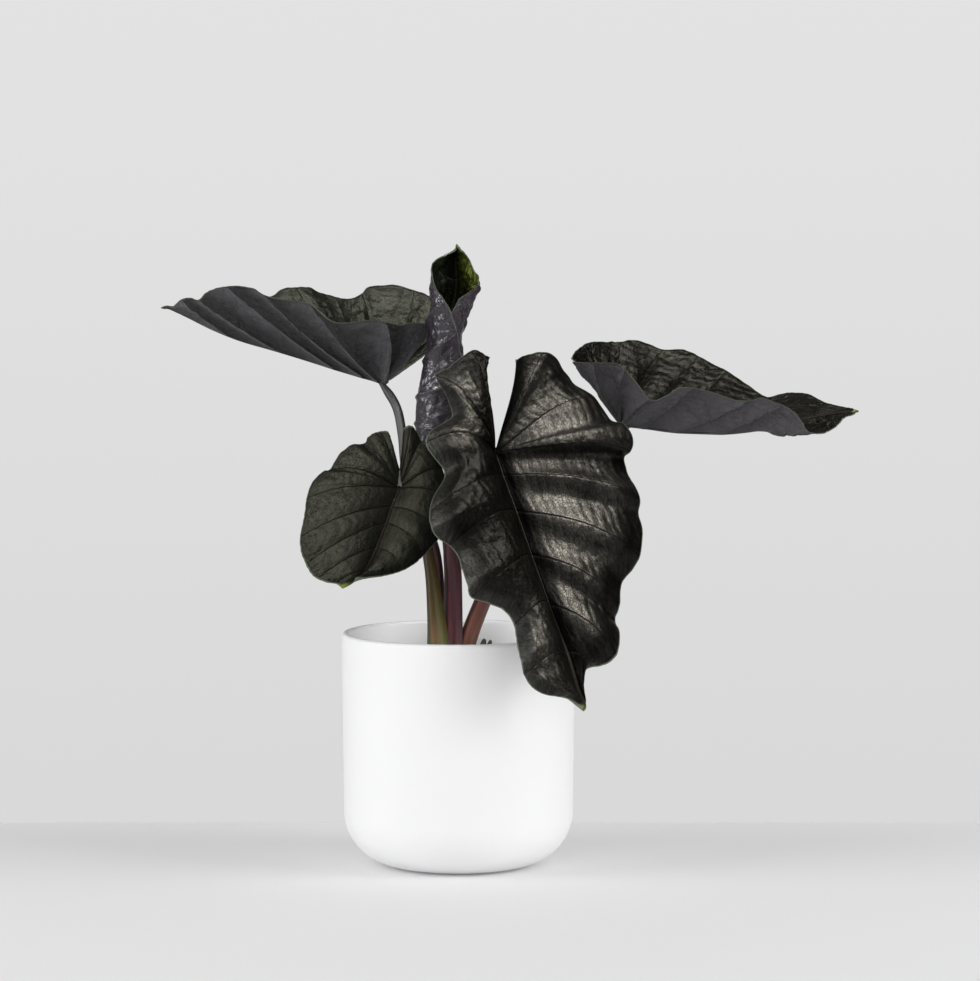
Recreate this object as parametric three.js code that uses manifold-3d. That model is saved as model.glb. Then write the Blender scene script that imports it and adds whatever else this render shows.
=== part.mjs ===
// A potted velvet alocasia: five arrow-shaped leaves on fleshy petioles, standing in the bark-rich
// soil of a plain white pot. Millimetres, +Z up, origin at the centre of the pot's underside.
// The plant's front is -Y, its widest spread runs along X.
import * as THREE from "three";
import { mergeVertices } from "three/addons/utils/BufferGeometryUtils.js";
import Module from "manifold-3d";

const wasm = await Module();
wasm.setup();

// Driving dimensions
const POT_HEIGHT = 140;
const POT_RIM_RADIUS = 70.2;
const POT_WAIST_RADIUS = 69;
const POT_FOOT_RADIUS = 37;
const POT_WALL = 4.2;
const POT_FLOOR = 6;
const SOIL_LEVEL = 113;
const FIT = 0.3;
const BLADE_THICKNESS = 0.8;
const PETIOLE_FOOT = 96;
const SOIL_HEAP = { height: 3.2, x: -4, y: 2, width: 30 };
const SOIL_LUMP = 1.1;
const CHIPS = { count: 28, reach: 54, length: 8, variation: 4, thickness: 4.5, tilt: 0.4 };

// Fineness of the curved surfaces
const POT_SEGMENTS = 60;
const ARC_STEPS = 8;
const LIP_STEPS = 3;
const SOIL_SEGMENTS = 36;
const SOIL_RINGS = 7;
const COLUMNS_PER_BAY = 4;
const ROWS = [-1, -0.76, -0.5, -0.25, -0.05, 0, 0.05, 0.25, 0.5, 0.76, 1];
const PETIOLE_SIDES = 10;
const PETIOLE_STEPS = 20;
const SCRAP_STEPS = 6;
const MERGE = 1e-3;

const COLORS = {
  pot: 0xe9e8e6,
  soil: 0x3a2c22,
  dryHusk: 0x4a3c30,
  olive: 0x6f7436,
  red: 0x55262c,
  bronze: 0x3b3a2f,
  purple: 0x4a3a44,
};

// Materials
function material(color, roughness, metalness = 0) {
  return new THREE.MeshStandardMaterial({ color, roughness, metalness });
}

const ceramic = material(COLORS.pot, 0.35);
const earth = material(COLORS.soil, 0.95);
const husk = material(COLORS.dryHusk, 0.9);
const oliveStalk = material(COLORS.olive, 0.5);
const redStalk = material(COLORS.red, 0.45);
const velvet = material(COLORS.bronze, 0.5, 0.15);
const newGrowth = material(COLORS.purple, 0.4, 0.15);

// Closed solids: joining and cutting
function closed(geometry) {
  geometry.deleteAttribute("normal");
  geometry.deleteAttribute("uv");
  const merged = mergeVertices(geometry, MERGE);
  const corners = merged.index.array;
  const kept = [];
  for (let i = 0; i < corners.length; i += 3) {
    const [a, b, c] = corners.slice(i, i + 3);
    if (a !== b && b !== c && c !== a) kept.push(a, b, c);
  }
  merged.setIndex(kept);
  return merged;
}

function solidOf(geometry) {
  const shell = closed(geometry);
  return new wasm.Manifold(
    new wasm.Mesh({
      numProp: 3,
      vertProperties: shell.attributes.position.array,
      triVerts: new Uint32Array(shell.index.array),
    }),
  );
}

function geometryOf(solid) {
  const mesh = solid.getMesh();
  const geometry = new THREE.BufferGeometry();
  geometry.setAttribute("position", new THREE.BufferAttribute(mesh.vertProperties, 3));
  geometry.setIndex(new THREE.BufferAttribute(mesh.triVerts, 1));
  geometry.computeVertexNormals();
  return geometry;
}

function largestBody(solid) {
  return solid.decompose().reduce((best, body) => (body.volume() > best.volume() ? body : best));
}

function named(name, geometry, look) {
  const mesh = new THREE.Mesh(geometry, look);
  mesh.name = name;
  return mesh;
}

function points(list) {
  return list.map(([x, y, z]) => new THREE.Vector3(x, y, z));
}

function smoothstep(x, from, to) {
  return THREE.MathUtils.smoothstep(x, from, to);
}

// Each bay of a blade's edge ends at the tip of a side vein. The first bay is the lobe's inner corner.
class Edge {
  constructor(bays) {
    const all = bays.flat();
    this.last = all.length - 1;
    this.curve = new THREE.CatmullRomCurve3(points(all), false, "catmullrom");
    let count = -1;
    this.veinEnds = bays.map((bay) => (count += bay.length));
  }

  // The point at c along the blade, from 0 at the lobe's corner to 1 at the leaf tip.
  at(c) {
    const place = Math.min(c, 1) * (this.veinEnds.length - 1);
    const bay = Math.min(Math.floor(place), this.veinEnds.length - 2);
    const index = THREE.MathUtils.lerp(this.veinEnds[bay], this.veinEnds[bay + 1], place - bay);
    return this.curve.getPoint(index / this.last);
  }
}

// A leaf blade is a ruled sheet from its midrib to its two edges. Each half is arched, quilted
// between its side veins, with pillows or with hollows, and its margin is rolled back. c runs from
// the sinus to the tip, v from the left edge (-1) through the midrib (0) to the right edge (1), as
// seen on the upper face with the tip down.
class Blade {
  constructor({ midrib, veinStarts, left, right, sinus, arch, quilt, roll = [0, 0], rib }) {
    this.midrib = new THREE.CatmullRomCurve3(points(midrib), false, "catmullrom");
    this.veinStarts = veinStarts;
    this.left = new Edge(left);
    this.right = new Edge(right);
    this.sinus = sinus;
    this.arch = arch;
    this.quilt = quilt;
    this.roll = roll;
    this.rib = rib;
    this.bays = veinStarts.length - 1;
  }

  // How far along the midrib the side vein of place c starts.
  start(c) {
    const place = Math.min(c, 1) * this.bays;
    const bay = Math.min(Math.floor(place), this.bays - 1);
    return THREE.MathUtils.lerp(this.veinStarts[bay], this.veinStarts[bay + 1], place - bay);
  }

  // Where a point of the flat pattern lies in space.
  lay(point) {
    return point;
  }

  // The sinus edges bow away from each other by a share of the first bay.
  ruled(c, v) {
    const [edge, bow] = v < 0 ? [this.left, this.sinus[0]] : [this.right, this.sinus[1]];
    const t = Math.abs(v);
    const bowed = c + bow * Math.max(0, 1 / this.bays - c) * 4 * t * (1 - t);
    return this.lay(this.midrib.getPoint(this.start(bowed)).lerp(edge.at(bowed), t));
  }

  upward(c, v) {
    const side = v < 0 ? -1 : 1;
    const t = THREE.MathUtils.clamp(Math.abs(v), 0.03, 0.97);
    const along = this.ruled(Math.min(c + 1 / this.bays, 1), side * t);
    along.sub(this.ruled(Math.max(c - 1 / this.bays, 0), side * t));
    const across = this.ruled(c, side * (t + 0.03)).sub(this.ruled(c, side * (t - 0.03)));
    return along.cross(across).normalize().multiplyScalar(side);
  }

  point(c, v) {
    const t = Math.abs(v);
    const length = Math.sqrt(Math.sin(Math.PI * THREE.MathUtils.clamp(c, 0, 1)));
    const [arch, quilt, roll] = [this.arch, this.quilt, this.roll].map((pair) => pair[v < 0 ? 0 : 1]);
    const within = (c * this.bays) % 1;
    const pillow = Math.abs(Math.sin(Math.PI * within)) ** 0.7;
    const hollow = 1 - Math.abs(2 * within - 1) ** 1.5;
    const panel = quilt * (quilt < 0 ? hollow : pillow) * Math.sin(Math.PI * t);
    const lift = length * (arch * 4 * t * (1 - t) + panel - roll * smoothstep(t, 0.78, 1.04));
    return this.ruled(c, v).addScaledVector(this.upward(c, v), lift);
  }

  // The sheet between an upper and a lower face, both split along the same diagonals.
  // raise lifts the upper face and drop lowers the lower one, to make a cutter.
  solid(raise = 0, drop = 0) {
    const sheet = new THREE.PlaneGeometry(1, 1, this.bays * COLUMNS_PER_BAY, ROWS.length - 1);
    sheet.deleteAttribute("normal");
    sheet.deleteAttribute("uv");
    const place = sheet.attributes.position;
    const depth = new Float32Array(place.count);
    for (let i = 0; i < place.count; i++) {
      const c = place.getX(i) + 0.5;
      const v = ROWS[Math.round((place.getY(i) + 0.5) * (ROWS.length - 1))];
      const rib = v === 0 ? this.rib * (1 - this.start(c)) : 0;
      depth[i] = BLADE_THICKNESS + rib;
      place.setXYZ(i, ...this.point(c, v));
    }
    sheet.setAttribute("depth", new THREE.BufferAttribute(depth, 1));
    const top = closed(sheet);
    top.computeVertexNormals();
    return thickened(top, raise, drop);
  }
}

function thickened(top, raise, drop) {
  const count = top.attributes.position.count;
  const place = new THREE.Vector3();
  const normal = new THREE.Vector3();
  const vertices = new Float32Array(count * 6);
  for (let i = 0; i < count; i++) {
    place.fromBufferAttribute(top.attributes.position, i);
    normal.fromBufferAttribute(top.attributes.normal, i);
    const under = place.clone().addScaledVector(normal, -top.attributes.depth.getX(i) - drop);
    place.addScaledVector(normal, raise).toArray(vertices, i * 3);
    under.toArray(vertices, (count + i) * 3);
  }
  const faces = [...top.index.array];
  const directed = new Set();
  for (let i = 0; i < faces.length; i += 3) {
    for (let k = 0; k < 3; k++) directed.add(faces[i + k] * count + faces[i + ((k + 1) % 3)]);
  }
  const shell = [...faces];
  for (let i = 0; i < faces.length; i += 3) {
    shell.push(faces[i] + count, faces[i + 2] + count, faces[i + 1] + count);
  }
  for (const edge of directed) {
    const from = Math.floor(edge / count);
    const to = edge % count;
    if (directed.has(to * count + from)) continue;
    shell.push(to, from, from + count, to, from + count, to + count);
  }
  const geometry = new THREE.BufferGeometry();
  geometry.setAttribute("position", new THREE.BufferAttribute(vertices, 3));
  geometry.setIndex(shell);
  return solidOf(geometry);
}

// The new leaf is still rolled round its own midrib, which runs up the back. Its pattern is drawn
// flat: x is the angle round the roll in degrees, away from the midrib, and z the height.
class RolledBlade extends Blade {
  constructor({ axis, radii, seam, ...pattern }) {
    super(pattern);
    this.axis = new THREE.CatmullRomCurve3(points(axis), false, "catmullrom");
    this.radii = new THREE.CatmullRomCurve3(points(radii.map((r) => [r, 0, 0])), false, "catmullrom");
    this.low = axis[0][2];
    this.high = axis.at(-1)[2];
    this.seam = seam;
  }

  lay({ x: angle, z }) {
    const level = THREE.MathUtils.clamp((z - this.low) / (this.high - this.low), 0, 1);
    const centre = this.axis.getPoint(level);
    const tuck = this.seam * smoothstep(-angle, 40, 130);
    const wrap = this.seam * 0.4 * smoothstep(angle, 170, 260);
    const radius = this.radii.getPoint(level).x - tuck + wrap;
    const turn = THREE.MathUtils.degToRad(angle);
    return new THREE.Vector3(
      centre.x - radius * Math.sin(turn),
      centre.y + radius * Math.cos(turn),
      z,
    );
  }
}

// A petiole is a round tapering stalk along its own curve. radii has one value for each point.
class Petiole {
  constructor({ route, radii }) {
    this.curve = new THREE.CatmullRomCurve3(points(route), false, "catmullrom");
    this.radii = radii;
  }

  radius(t) {
    const place = t * (this.radii.length - 1);
    const span = Math.min(Math.floor(place), this.radii.length - 2);
    return THREE.MathUtils.lerp(this.radii[span], this.radii[span + 1], place - span);
  }

  solid(grow = 0, steps = PETIOLE_STEPS) {
    const stalk = new THREE.CylinderGeometry(1, 1, 1, PETIOLE_SIDES, steps);
    const frames = this.curve.computeFrenetFrames(steps, false);
    const place = stalk.attributes.position;
    for (let i = 0; i < place.count; i++) {
      const step = Math.round((place.getY(i) + 0.5) * steps);
      const t = this.curve.getUtoTmapping(step / steps);
      const radius = this.radius(t) + grow;
      const point = this.curve.getPoint(t);
      if (step === 0) point.addScaledVector(frames.tangents[0], -grow);
      point.addScaledVector(frames.normals[step], place.getX(i) * radius);
      point.addScaledVector(frames.binormals[step], -place.getZ(i) * radius);
      place.setXYZ(i, ...point);
    }
    return solidOf(stalk);
  }
}

// The pot
function potInnerRadius(z) {
  const waist = POT_WAIST_RADIUS - POT_WALL;
  const rim = POT_RIM_RADIUS - POT_WALL;
  const knee = POT_WAIST_RADIUS - POT_FOOT_RADIUS;
  return THREE.MathUtils.mapLinear(z, knee, POT_HEIGHT, waist, rim);
}

function revolved(profile, segments) {
  const geometry = new THREE.LatheGeometry(profile, segments);
  geometry.rotateX(Math.PI / 2);
  return geometry;
}

function potGeometry() {
  const knee = POT_WAIST_RADIUS - POT_FOOT_RADIUS;
  const lip = POT_WALL / 2;
  const shoulder = POT_HEIGHT - lip;
  const bowl = knee - POT_FLOOR;
  const outside = new THREE.Path();
  outside.moveTo(0, 0);
  outside.lineTo(POT_FOOT_RADIUS, 0);
  outside.absarc(POT_FOOT_RADIUS, knee, knee, -Math.PI / 2, 0);
  outside.lineTo(POT_RIM_RADIUS, shoulder);
  const rim = new THREE.Path();
  rim.absarc(POT_RIM_RADIUS - lip, shoulder, lip, 0, Math.PI);
  const inside = new THREE.Path();
  inside.moveTo(potInnerRadius(knee), knee);
  inside.absarc(potInnerRadius(knee) - bowl, knee, bowl, 0, -Math.PI / 2, true);
  inside.lineTo(0, POT_FLOOR);
  const profile = [
    ...outside.getPoints(ARC_STEPS / 2),
    ...rim.getPoints(LIP_STEPS).slice(1),
    ...inside.getPoints(ARC_STEPS / 2),
  ];
  return revolved(profile, POT_SEGMENTS);
}

// The soil
// Heaped a little towards the stalks, with soft lumps all over.
function soilHeight(x, y) {
  const { height, width } = SOIL_HEAP;
  const away = Math.hypot(x - SOIL_HEAP.x, y - SOIL_HEAP.y) / width;
  const broad = Math.sin(0.31 * x + 1.1) * Math.cos(0.27 * y - 0.4);
  const slanting = 0.6 * Math.sin(0.17 * (x - y) + 2);
  return SOIL_LEVEL + height * Math.exp(-away * away) + SOIL_LUMP * (broad + slanting);
}

function soilBody() {
  const knee = POT_WAIST_RADIUS - POT_FOOT_RADIUS;
  const bowl = knee - POT_FLOOR - FIT;
  const edge = potInnerRadius(SOIL_LEVEL) - FIT;
  const side = new THREE.Path();
  side.moveTo(0, POT_FLOOR + FIT);
  side.lineTo(potInnerRadius(knee) - bowl - FIT, POT_FLOOR + FIT);
  side.absarc(potInnerRadius(knee) - bowl - FIT, knee, bowl, -Math.PI / 2, 0);
  const profile = side.getPoints(LIP_STEPS);
  for (let ring = SOIL_RINGS; ring >= 0; ring--) {
    profile.push(new THREE.Vector2((edge * ring) / SOIL_RINGS, SOIL_LEVEL));
  }
  const geometry = revolved(profile, SOIL_SEGMENTS);
  const place = geometry.attributes.position;
  for (let i = 0; i < place.count; i++) {
    if (place.getZ(i) > SOIL_LEVEL - FIT) place.setZ(i, soilHeight(place.getX(i), place.getY(i)));
  }
  return solidOf(geometry);
}

// Bark chips lie on the soil in a sunflower's spiral, each sunk halfway in.
function barkChip(i) {
  const goldenAngle = Math.PI * (3 - Math.sqrt(5));
  const away = CHIPS.reach * Math.sqrt((i + 3) / (CHIPS.count + 3));
  const length = CHIPS.length + CHIPS.variation * Math.sin(i * 2.3);
  const chip = new THREE.BoxGeometry(length, length * 0.55, CHIPS.thickness);
  chip.rotateX(CHIPS.tilt * Math.sin(i * 1.7));
  chip.rotateY(CHIPS.tilt * Math.cos(i * 3.1));
  chip.rotateZ(i * 1.9);
  const x = away * Math.cos(i * goldenAngle);
  const y = away * Math.sin(i * goldenAngle);
  chip.translate(x, y, soilHeight(x, y));
  return solidOf(chip);
}

function soilGeometry(standing) {
  let soil = soilBody();
  for (let i = 0; i < CHIPS.count; i++) soil = soil.add(barkChip(i));
  for (const stalk of standing) soil = soil.subtract(stalk);
  return geometryOf(largestBody(soil));
}

// The plant's dry remains: two pointed scraps of an old leaf sheath behind the crown.
const DRY_SHEATH = [
  {
    route: [[11, 12, 100], [11.5, 12.5, 112], [13.5, 14, 124], [15.6, 16, 133.6]],
    radii: [2.6, 3.4, 2.4, 0.35],
  },
  {
    route: [[11.4, 12, 100], [13.5, 13, 112], [17, 15.5, 124], [19, 18, 132.6]],
    radii: [2.6, 3.2, 2.2, 0.35],
  },
];

function drySheathSolid(grow = 0) {
  const [left, right] = DRY_SHEATH.map((scrap) => new Petiole(scrap).solid(grow, SCRAP_STEPS));
  return left.add(right);
}

// The five leaves. Every list runs along the blade from the sinus to the tip.
const LEAVES = {
  front: {
    petiole: {
      route: [
        [-3.8, -2.5, PETIOLE_FOOT], [-3.8, -2.5, 116], [-3.6, -2.6, 132], [-3.2, -3, 171], [-3.8, -5, 194],
        [1, -11, 222], [8, -23, 243], [15, -35, 251], [20, -43, 249.5], [25, -54, 242],
      ],
      radii: [4.4, 5.5, 5.9, 5.6, 5.1, 4.3, 3.5, 3, 2.7, 2.4],
    },
    stalk: redStalk,
    look: velvet,
    blade: {
      midrib: [
        [22, -48, 251], [28, -53, 234], [35, -58, 219], [41, -64, 196],
        [52, -73, 168], [63, -82, 138], [70, -89, 114], [73, -92, 104],
      ],
      veinStarts: [0, 0, 0, 0, 0.11, 0.3, 0.45, 0.59, 0.72, 1],
      left: [
        [[19, -22, 306]],
        [[14, -28, 310], [9, -30, 311]],
        [[0, -38, 305], [-5, -39, 301], [-12, -40, 297]],
        [[-6, -44, 286], [-2, -48, 275], [-5, -54, 271], [-14, -63, 266], [-17, -65, 259]],
        [[-13, -68, 252], [-6, -69, 241], [-12, -82, 229], [-14, -89, 221]],
        [[-13, -97, 213], [-10, -96, 207], [-3, -89, 201]],
        [[2, -89, 195], [5, -94, 187], [8, -101, 179], [10, -100, 172]],
        [[21, -91, 167], [29, -86, 162], [34, -87, 154]],
        [[35.5, -94, 145], [38, -102, 135], [39.5, -102, 126.5]],
        [
          [44.3, -104, 120.2], [51.7, -102, 115.5], [59.2, -99, 114], [64.3, -95, 112.2],
          [69.6, -93, 107.4], [73, -92, 104],
        ],
      ],
      right: [
        [[34, -32, 305]],
        [[40, -35, 308], [51, -31, 310]],
        [[58, -25, 307], [64, -26, 298], [70, -32, 291], [81, -30, 284]],
        [[90, -37, 271], [98, -47, 268], [103, -50, 260], [102, -46, 253]],
        [[99, -38, 248], [101, -43, 238], [107, -53, 227]],
        [[107, -50, 216], [109, -54, 207], [107, -64, 193]],
        [[103, -60, 184], [97, -61, 176], [95, -70, 164]],
        [[93, -69, 155], [95, -75, 149], [93, -84, 138]],
        [[89, -85, 133], [84, -82, 130], [78, -79, 128], [75, -79, 125]],
        [[73, -85, 117], [72, -89, 110], [73, -92, 104]],
      ],
      sinus: [0.55, 0.35],
      arch: [13, 12],
      quilt: [2.8, -3.6],
      roll: [2, 5],
      rib: 1.5,
    },
  },
  lower_left: {
    petiole: {
      route: [
        [-13, 12.5, PETIOLE_FOOT], [-13, 12.5, 116], [-12.2, 13, 150], [-12.4, 13.5, 176], [-16, 13, 194],
        [-24, 11, 205], [-32, 6, 211], [-36.5, -6, 215], [-38, -20, 218], [-37, -42, 223],
      ],
      radii: [3, 3.6, 3.3, 3.1, 3, 2.9, 2.8, 2.6, 2.5, 2.3],
    },
    stalk: redStalk,
    look: velvet,
    blade: {
      midrib: [
        [-34, -27, 239], [-35, -34, 229], [-39, -44, 219], [-42, -52, 210], [-46, -62, 200],
        [-49, -69, 193], [-54, -79, 184], [-60, -86, 178], [-66, -91, 175],
      ],
      veinStarts: [0, 0.125, 0.125, 0.125, 0.125, 0.25, 0.375, 0.56, 0.76, 1],
      left: [
        [[-40, -20, 259]],
        [[-42, -20, 262], [-46, -21, 262]],
        [[-50, -24, 261], [-53, -26, 259], [-56, -28, 255]],
        [[-62, -33, 255], [-67, -37, 252], [-71, -41, 248], [-75, -45, 241]],
        [[-79, -49, 240], [-85, -56, 234], [-88, -63, 225]],
        [[-89, -72, 215], [-91, -80, 204]],
        [[-90, -86, 196], [-87, -89, 189]],
        [[-84, -92, 184], [-80, -93, 181]],
        [[-75, -93, 179], [-70, -92, 178]],
        [[-68, -92, 177], [-66, -91, 175]],
      ],
      right: [
        [[-33, -17, 260]],
        [[-32, -16, 264], [-28, -14, 265]],
        [[-25, -13, 262], [-22, -14, 256]],
        [[-18, -16, 253], [-12, -18, 247], [-9, -21, 239]],
        [[-6, -26, 231], [-5, -31, 222]],
        [[-6, -38, 213], [-10, -45, 202]],
        [[-14, -52, 197], [-20, -58, 191]],
        [[-25, -64, 187], [-33, -70, 183]],
        [[-43, -77, 181], [-53, -82, 180]],
        [[-58, -86, 179], [-62, -89, 177], [-66, -91, 175]],
      ],
      sinus: [0.2, 0.2],
      arch: [5, 4],
      quilt: [0.9, 0.9],
      rib: 1.2,
    },
  },
  upper_left: {
    petiole: {
      route: [
        [-12.4, -12, PETIOLE_FOOT], [-12, -12.2, 116], [-12.2, -12, 135], [-13.8, -10.5, 155],
        [-16.4, -7.5, 178], [-22, -1.5, 207], [-31, 7, 235], [-34, 15, 258], [-38, 22, 275], [-48, 30, 290],
      ],
      radii: [4.4, 6, 6.4, 5.1, 3.9, 3.4, 3, 2.5, 2.3, 2.2],
    },
    stalk: oliveStalk,
    look: velvet,
    blade: {
      midrib: [
        [-45, 30, 289.5], [-66, 26, 295.5], [-85, 23, 301.5], [-107, 19, 308.5], [-128, 15, 314.5],
        [-146, 12, 321.5], [-161, 9, 329], [-172, 7, 334.5], [-178, 6, 335],
      ],
      veinStarts: [0, 0, 0, 0.02, 0.07, 0.18, 0.37, 0.55, 1],
      left: [
        [[-12, 44, 311]],
        [[-8, 53, 318], [-7, 60, 327]],
        [[-12, 65, 337], [-19, 66, 341], [-28, 69, 344]],
        [[-38, 70, 347], [-48, 69, 347], [-56, 66, 346], [-60, 62, 342]],
        [[-67, 61, 339], [-76, 64, 340]],
        [[-86, 62, 343], [-92, 59, 346], [-100, 55, 346]],
        [[-108, 53, 345], [-116, 50, 340], [-126, 44, 340]],
        [[-136, 39, 339], [-148, 31, 337]],
        [[-159, 22, 335], [-169, 13, 334], [-178, 6, 335]],
      ],
      right: [
        [[-14, 25, 322]],
        [[-15, 18, 325], [-18, 9, 325]],
        [[-28, -4, 326], [-35, -13, 325], [-43, -22, 327]],
        [[-53, -29, 328], [-62, -34, 327], [-71, -35, 327], [-77, -36, 330], [-87, -33, 338]],
        [[-97, -35, 340], [-106, -32, 341], [-114, -27, 343]],
        [[-121, -29, 347], [-128, -26, 348], [-137, -20, 348]],
        [[-148, -19, 345], [-154, -13, 340]],
        [[-159, -11, 341], [-165, -6, 340]],
        [[-170, -2, 336], [-175, 2, 336], [-178, 6, 335]],
      ],
      sinus: [0.1, 0.1],
      arch: [-3, -5],
      quilt: [2, 2],
      rib: 1.6,
    },
  },
  right: {
    petiole: {
      route: [
        [3.6, 6.8, PETIOLE_FOOT], [3.6, 6.6, 116], [5.6, 6.2, 134], [15.4, 5.6, 160], [29, 5.4, 190],
        [47, 6.5, 221], [67, 7.5, 245], [86, 8, 256], [95, 7.8, 258.6], [103, 7, 264],
      ],
      radii: [4, 4.7, 5.2, 5, 4.4, 3.7, 3, 2.5, 2.3, 2.2],
    },
    stalk: redStalk,
    look: velvet,
    blade: {
      midrib: [
        [98, 8, 265], [112, 5, 263.5], [127, 2, 261.5], [145, -1, 260.5], [161, -4, 260.5],
        [178, -8, 262.5], [195, -12, 265.5], [210, -15, 270], [224, -17, 272.5], [238, -18, 274],
      ],
      veinStarts: [0, 0, 0, 0, 0.1, 0.25, 0.42, 0.6, 0.8, 1],
      left: [
        [[68, -15, 303]],
        [[73, -23, 303], [81, -31, 303]],
        [[93, -38, 303], [99, -41, 299]],
        [[105, -45, 292], [113, -45, 282]],
        [[121, -48, 284], [130, -48, 289], [139, -44, 289]],
        [[148, -45, 287], [162, -42, 282], [171, -38, 281]],
        [[178, -40, 283], [184, -40, 281], [192, -37, 278]],
        [[199, -39, 274], [203, -38, 268], [208, -36, 262]],
        [[217, -34, 262], [224, -29, 266]],
        [[230, -25, 271], [238, -18, 274]],
      ],
      right: [
        [[68, 18, 304]],
        [[72, 27, 309], [80, 35, 313]],
        [[92, 44, 313], [99, 46, 313]],
        [[107, 50, 314], [117, 52, 311], [125, 51, 308]],
        [[137, 53, 308], [147, 50, 304]],
        [[156, 50, 299], [164, 45, 295]],
        [[176, 42, 287], [187, 34, 280]],
        [[196, 30, 282], [204, 23, 283]],
        [[212, 18, 282], [220, 8, 278]],
        [[229, -4, 276], [234, -11, 275], [238, -18, 274]],
      ],
      sinus: [0.1, 0.1],
      arch: [-4, -3],
      quilt: [2, 2],
      rib: 1.6,
    },
  },
  rolled: {
    petiole: {
      route: [
        [-6, 8.4, PETIOLE_FOOT], [-6, 8.2, 116], [-5.6, 7.6, 150], [-5.6, 7.6, 178], [-8.2, 10.4, 205],
        [-12.4, 16, 230], [-13.6, 21, 248], [-12.8, 22.6, 262], [-11.8, 20.4, 278],
      ],
      radii: [3, 3.6, 3.2, 3, 2.8, 2.6, 2.4, 2.1, 1.6],
    },
    stalk: oliveStalk,
    look: newGrowth,
    blade: {
      axis: [
        [-13.5, 5, 245], [-12.8, 5, 265], [-11, 5, 285], [-8.5, 5, 305],
        [-6.2, 5, 325], [-1.6, 5, 345], [-1.5, 5, 365], [0, 5, 385],
      ],
      radii: [10, 13, 13, 11.2, 11.6, 14.2, 13.5, 5],
      seam: 2.4,
      midrib: [[0, 0, 268], [0, 0, 285], [0, 0, 303], [0, 0, 321], [0, 0, 339], [0, 0, 357], [0, 0, 373]],
      veinStarts: [0, 0, 0, 0.08, 0.25, 0.42, 0.6, 0.78, 1],
      left: [
        [[-20, 0, 256]],
        [[-60, 0, 251], [-110, 0, 252]],
        [[-160, 0, 258], [-205, 0, 268]],
        [[-235, 0, 282], [-232, 0, 300]],
        [[-205, 0, 318], [-176, 0, 333]],
        [[-170, 0, 337], [-165, 0, 340.4], [-151, 0, 342.5]],
        [[-136, 0, 344.5], [-104, 0, 347.5], [-84, 0, 352]],
        [[-66, 0, 354.5], [-47, 0, 357.5], [-29, 0, 365]],
        [[-12, 0, 370.5], [0, 0, 373]],
      ],
      right: [
        [[20, 0, 256]],
        [[60, 0, 250], [110, 0, 251]],
        [[165, 0, 255], [215, 0, 264]],
        [[248, 0, 280], [247, 0, 295]],
        [[231, 0, 309], [211, 0, 321]],
        [[180, 0, 333], [161, 0, 338.5]],
        [[146, 0, 342.5], [131, 0, 345.6], [110, 0, 351.7]],
        [[88, 0, 358.5], [60, 0, 363]],
        [[35, 0, 366], [8, 0, 369.5], [0, 0, 373]],
      ],
      sinus: [0, 0],
      arch: [0, 0],
      quilt: [1, 1],
      rib: 1,
    },
  },
};

// The whole plant
const plant = new THREE.Group();
plant.add(named("pot", geometryOf(solidOf(potGeometry())), ceramic));

const standing = [];
for (const [name, leaf] of Object.entries(LEAVES)) {
  const blade = leaf.blade.axis ? new RolledBlade(leaf.blade) : new Blade(leaf.blade);
  const petiole = new Petiole(leaf.petiole);
  const stalk = largestBody(petiole.solid().subtract(blade.solid(FIT, FIT)));
  plant.add(named(`blade_${name}`, geometryOf(blade.solid()), leaf.look));
  plant.add(named(`petiole_${name}`, geometryOf(stalk), leaf.stalk));
  standing.push(petiole.solid(FIT));
}
standing.push(drySheathSolid(FIT));
plant.add(named("dry_sheath", geometryOf(drySheathSolid()), husk));
plant.add(named("soil", soilGeometry(standing), earth));

export default plant;
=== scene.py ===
"""A potted velvet alocasia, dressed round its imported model.

Five dark arrow-shaped leaves stand on fleshy petioles in the bark-rich soil of a plain white pot.
Shapes are laid out in millimetres and turned into metres as their meshes are made. The plant's
front is -Y, its widest spread runs along X and +Z is up.
"""

from __future__ import annotations

import logging
import math
from collections.abc import Callable, Sequence
from dataclasses import dataclass, field
from enum import Enum
from typing import Any

import bmesh
import bpy
import numpy as np
from mathutils import Euler, Matrix, Vector, noise
from mathutils.bvhtree import BVHTree

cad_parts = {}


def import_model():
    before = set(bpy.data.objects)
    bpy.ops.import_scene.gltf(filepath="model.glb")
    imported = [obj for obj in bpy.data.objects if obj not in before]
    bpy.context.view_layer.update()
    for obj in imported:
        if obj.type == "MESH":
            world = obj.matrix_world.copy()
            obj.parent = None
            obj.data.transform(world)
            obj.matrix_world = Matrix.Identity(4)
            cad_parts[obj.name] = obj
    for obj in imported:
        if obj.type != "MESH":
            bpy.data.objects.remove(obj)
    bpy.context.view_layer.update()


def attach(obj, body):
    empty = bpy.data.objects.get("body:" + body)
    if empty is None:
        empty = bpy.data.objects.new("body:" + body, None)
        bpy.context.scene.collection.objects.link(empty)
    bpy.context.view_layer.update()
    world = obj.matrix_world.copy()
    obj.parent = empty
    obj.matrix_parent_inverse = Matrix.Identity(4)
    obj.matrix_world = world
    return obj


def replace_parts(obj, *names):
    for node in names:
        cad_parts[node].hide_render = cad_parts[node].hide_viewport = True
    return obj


log = logging.getLogger("alocasia")

MM = 0.001
FIT = 0.3
Colour = tuple[float, float, float]
Point = tuple[float, float, float]
Route = Sequence[Point]
Bays = Sequence[Route]
Shape = Callable[[np.ndarray, np.ndarray], tuple[np.ndarray, dict[str, np.ndarray]]]


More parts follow.
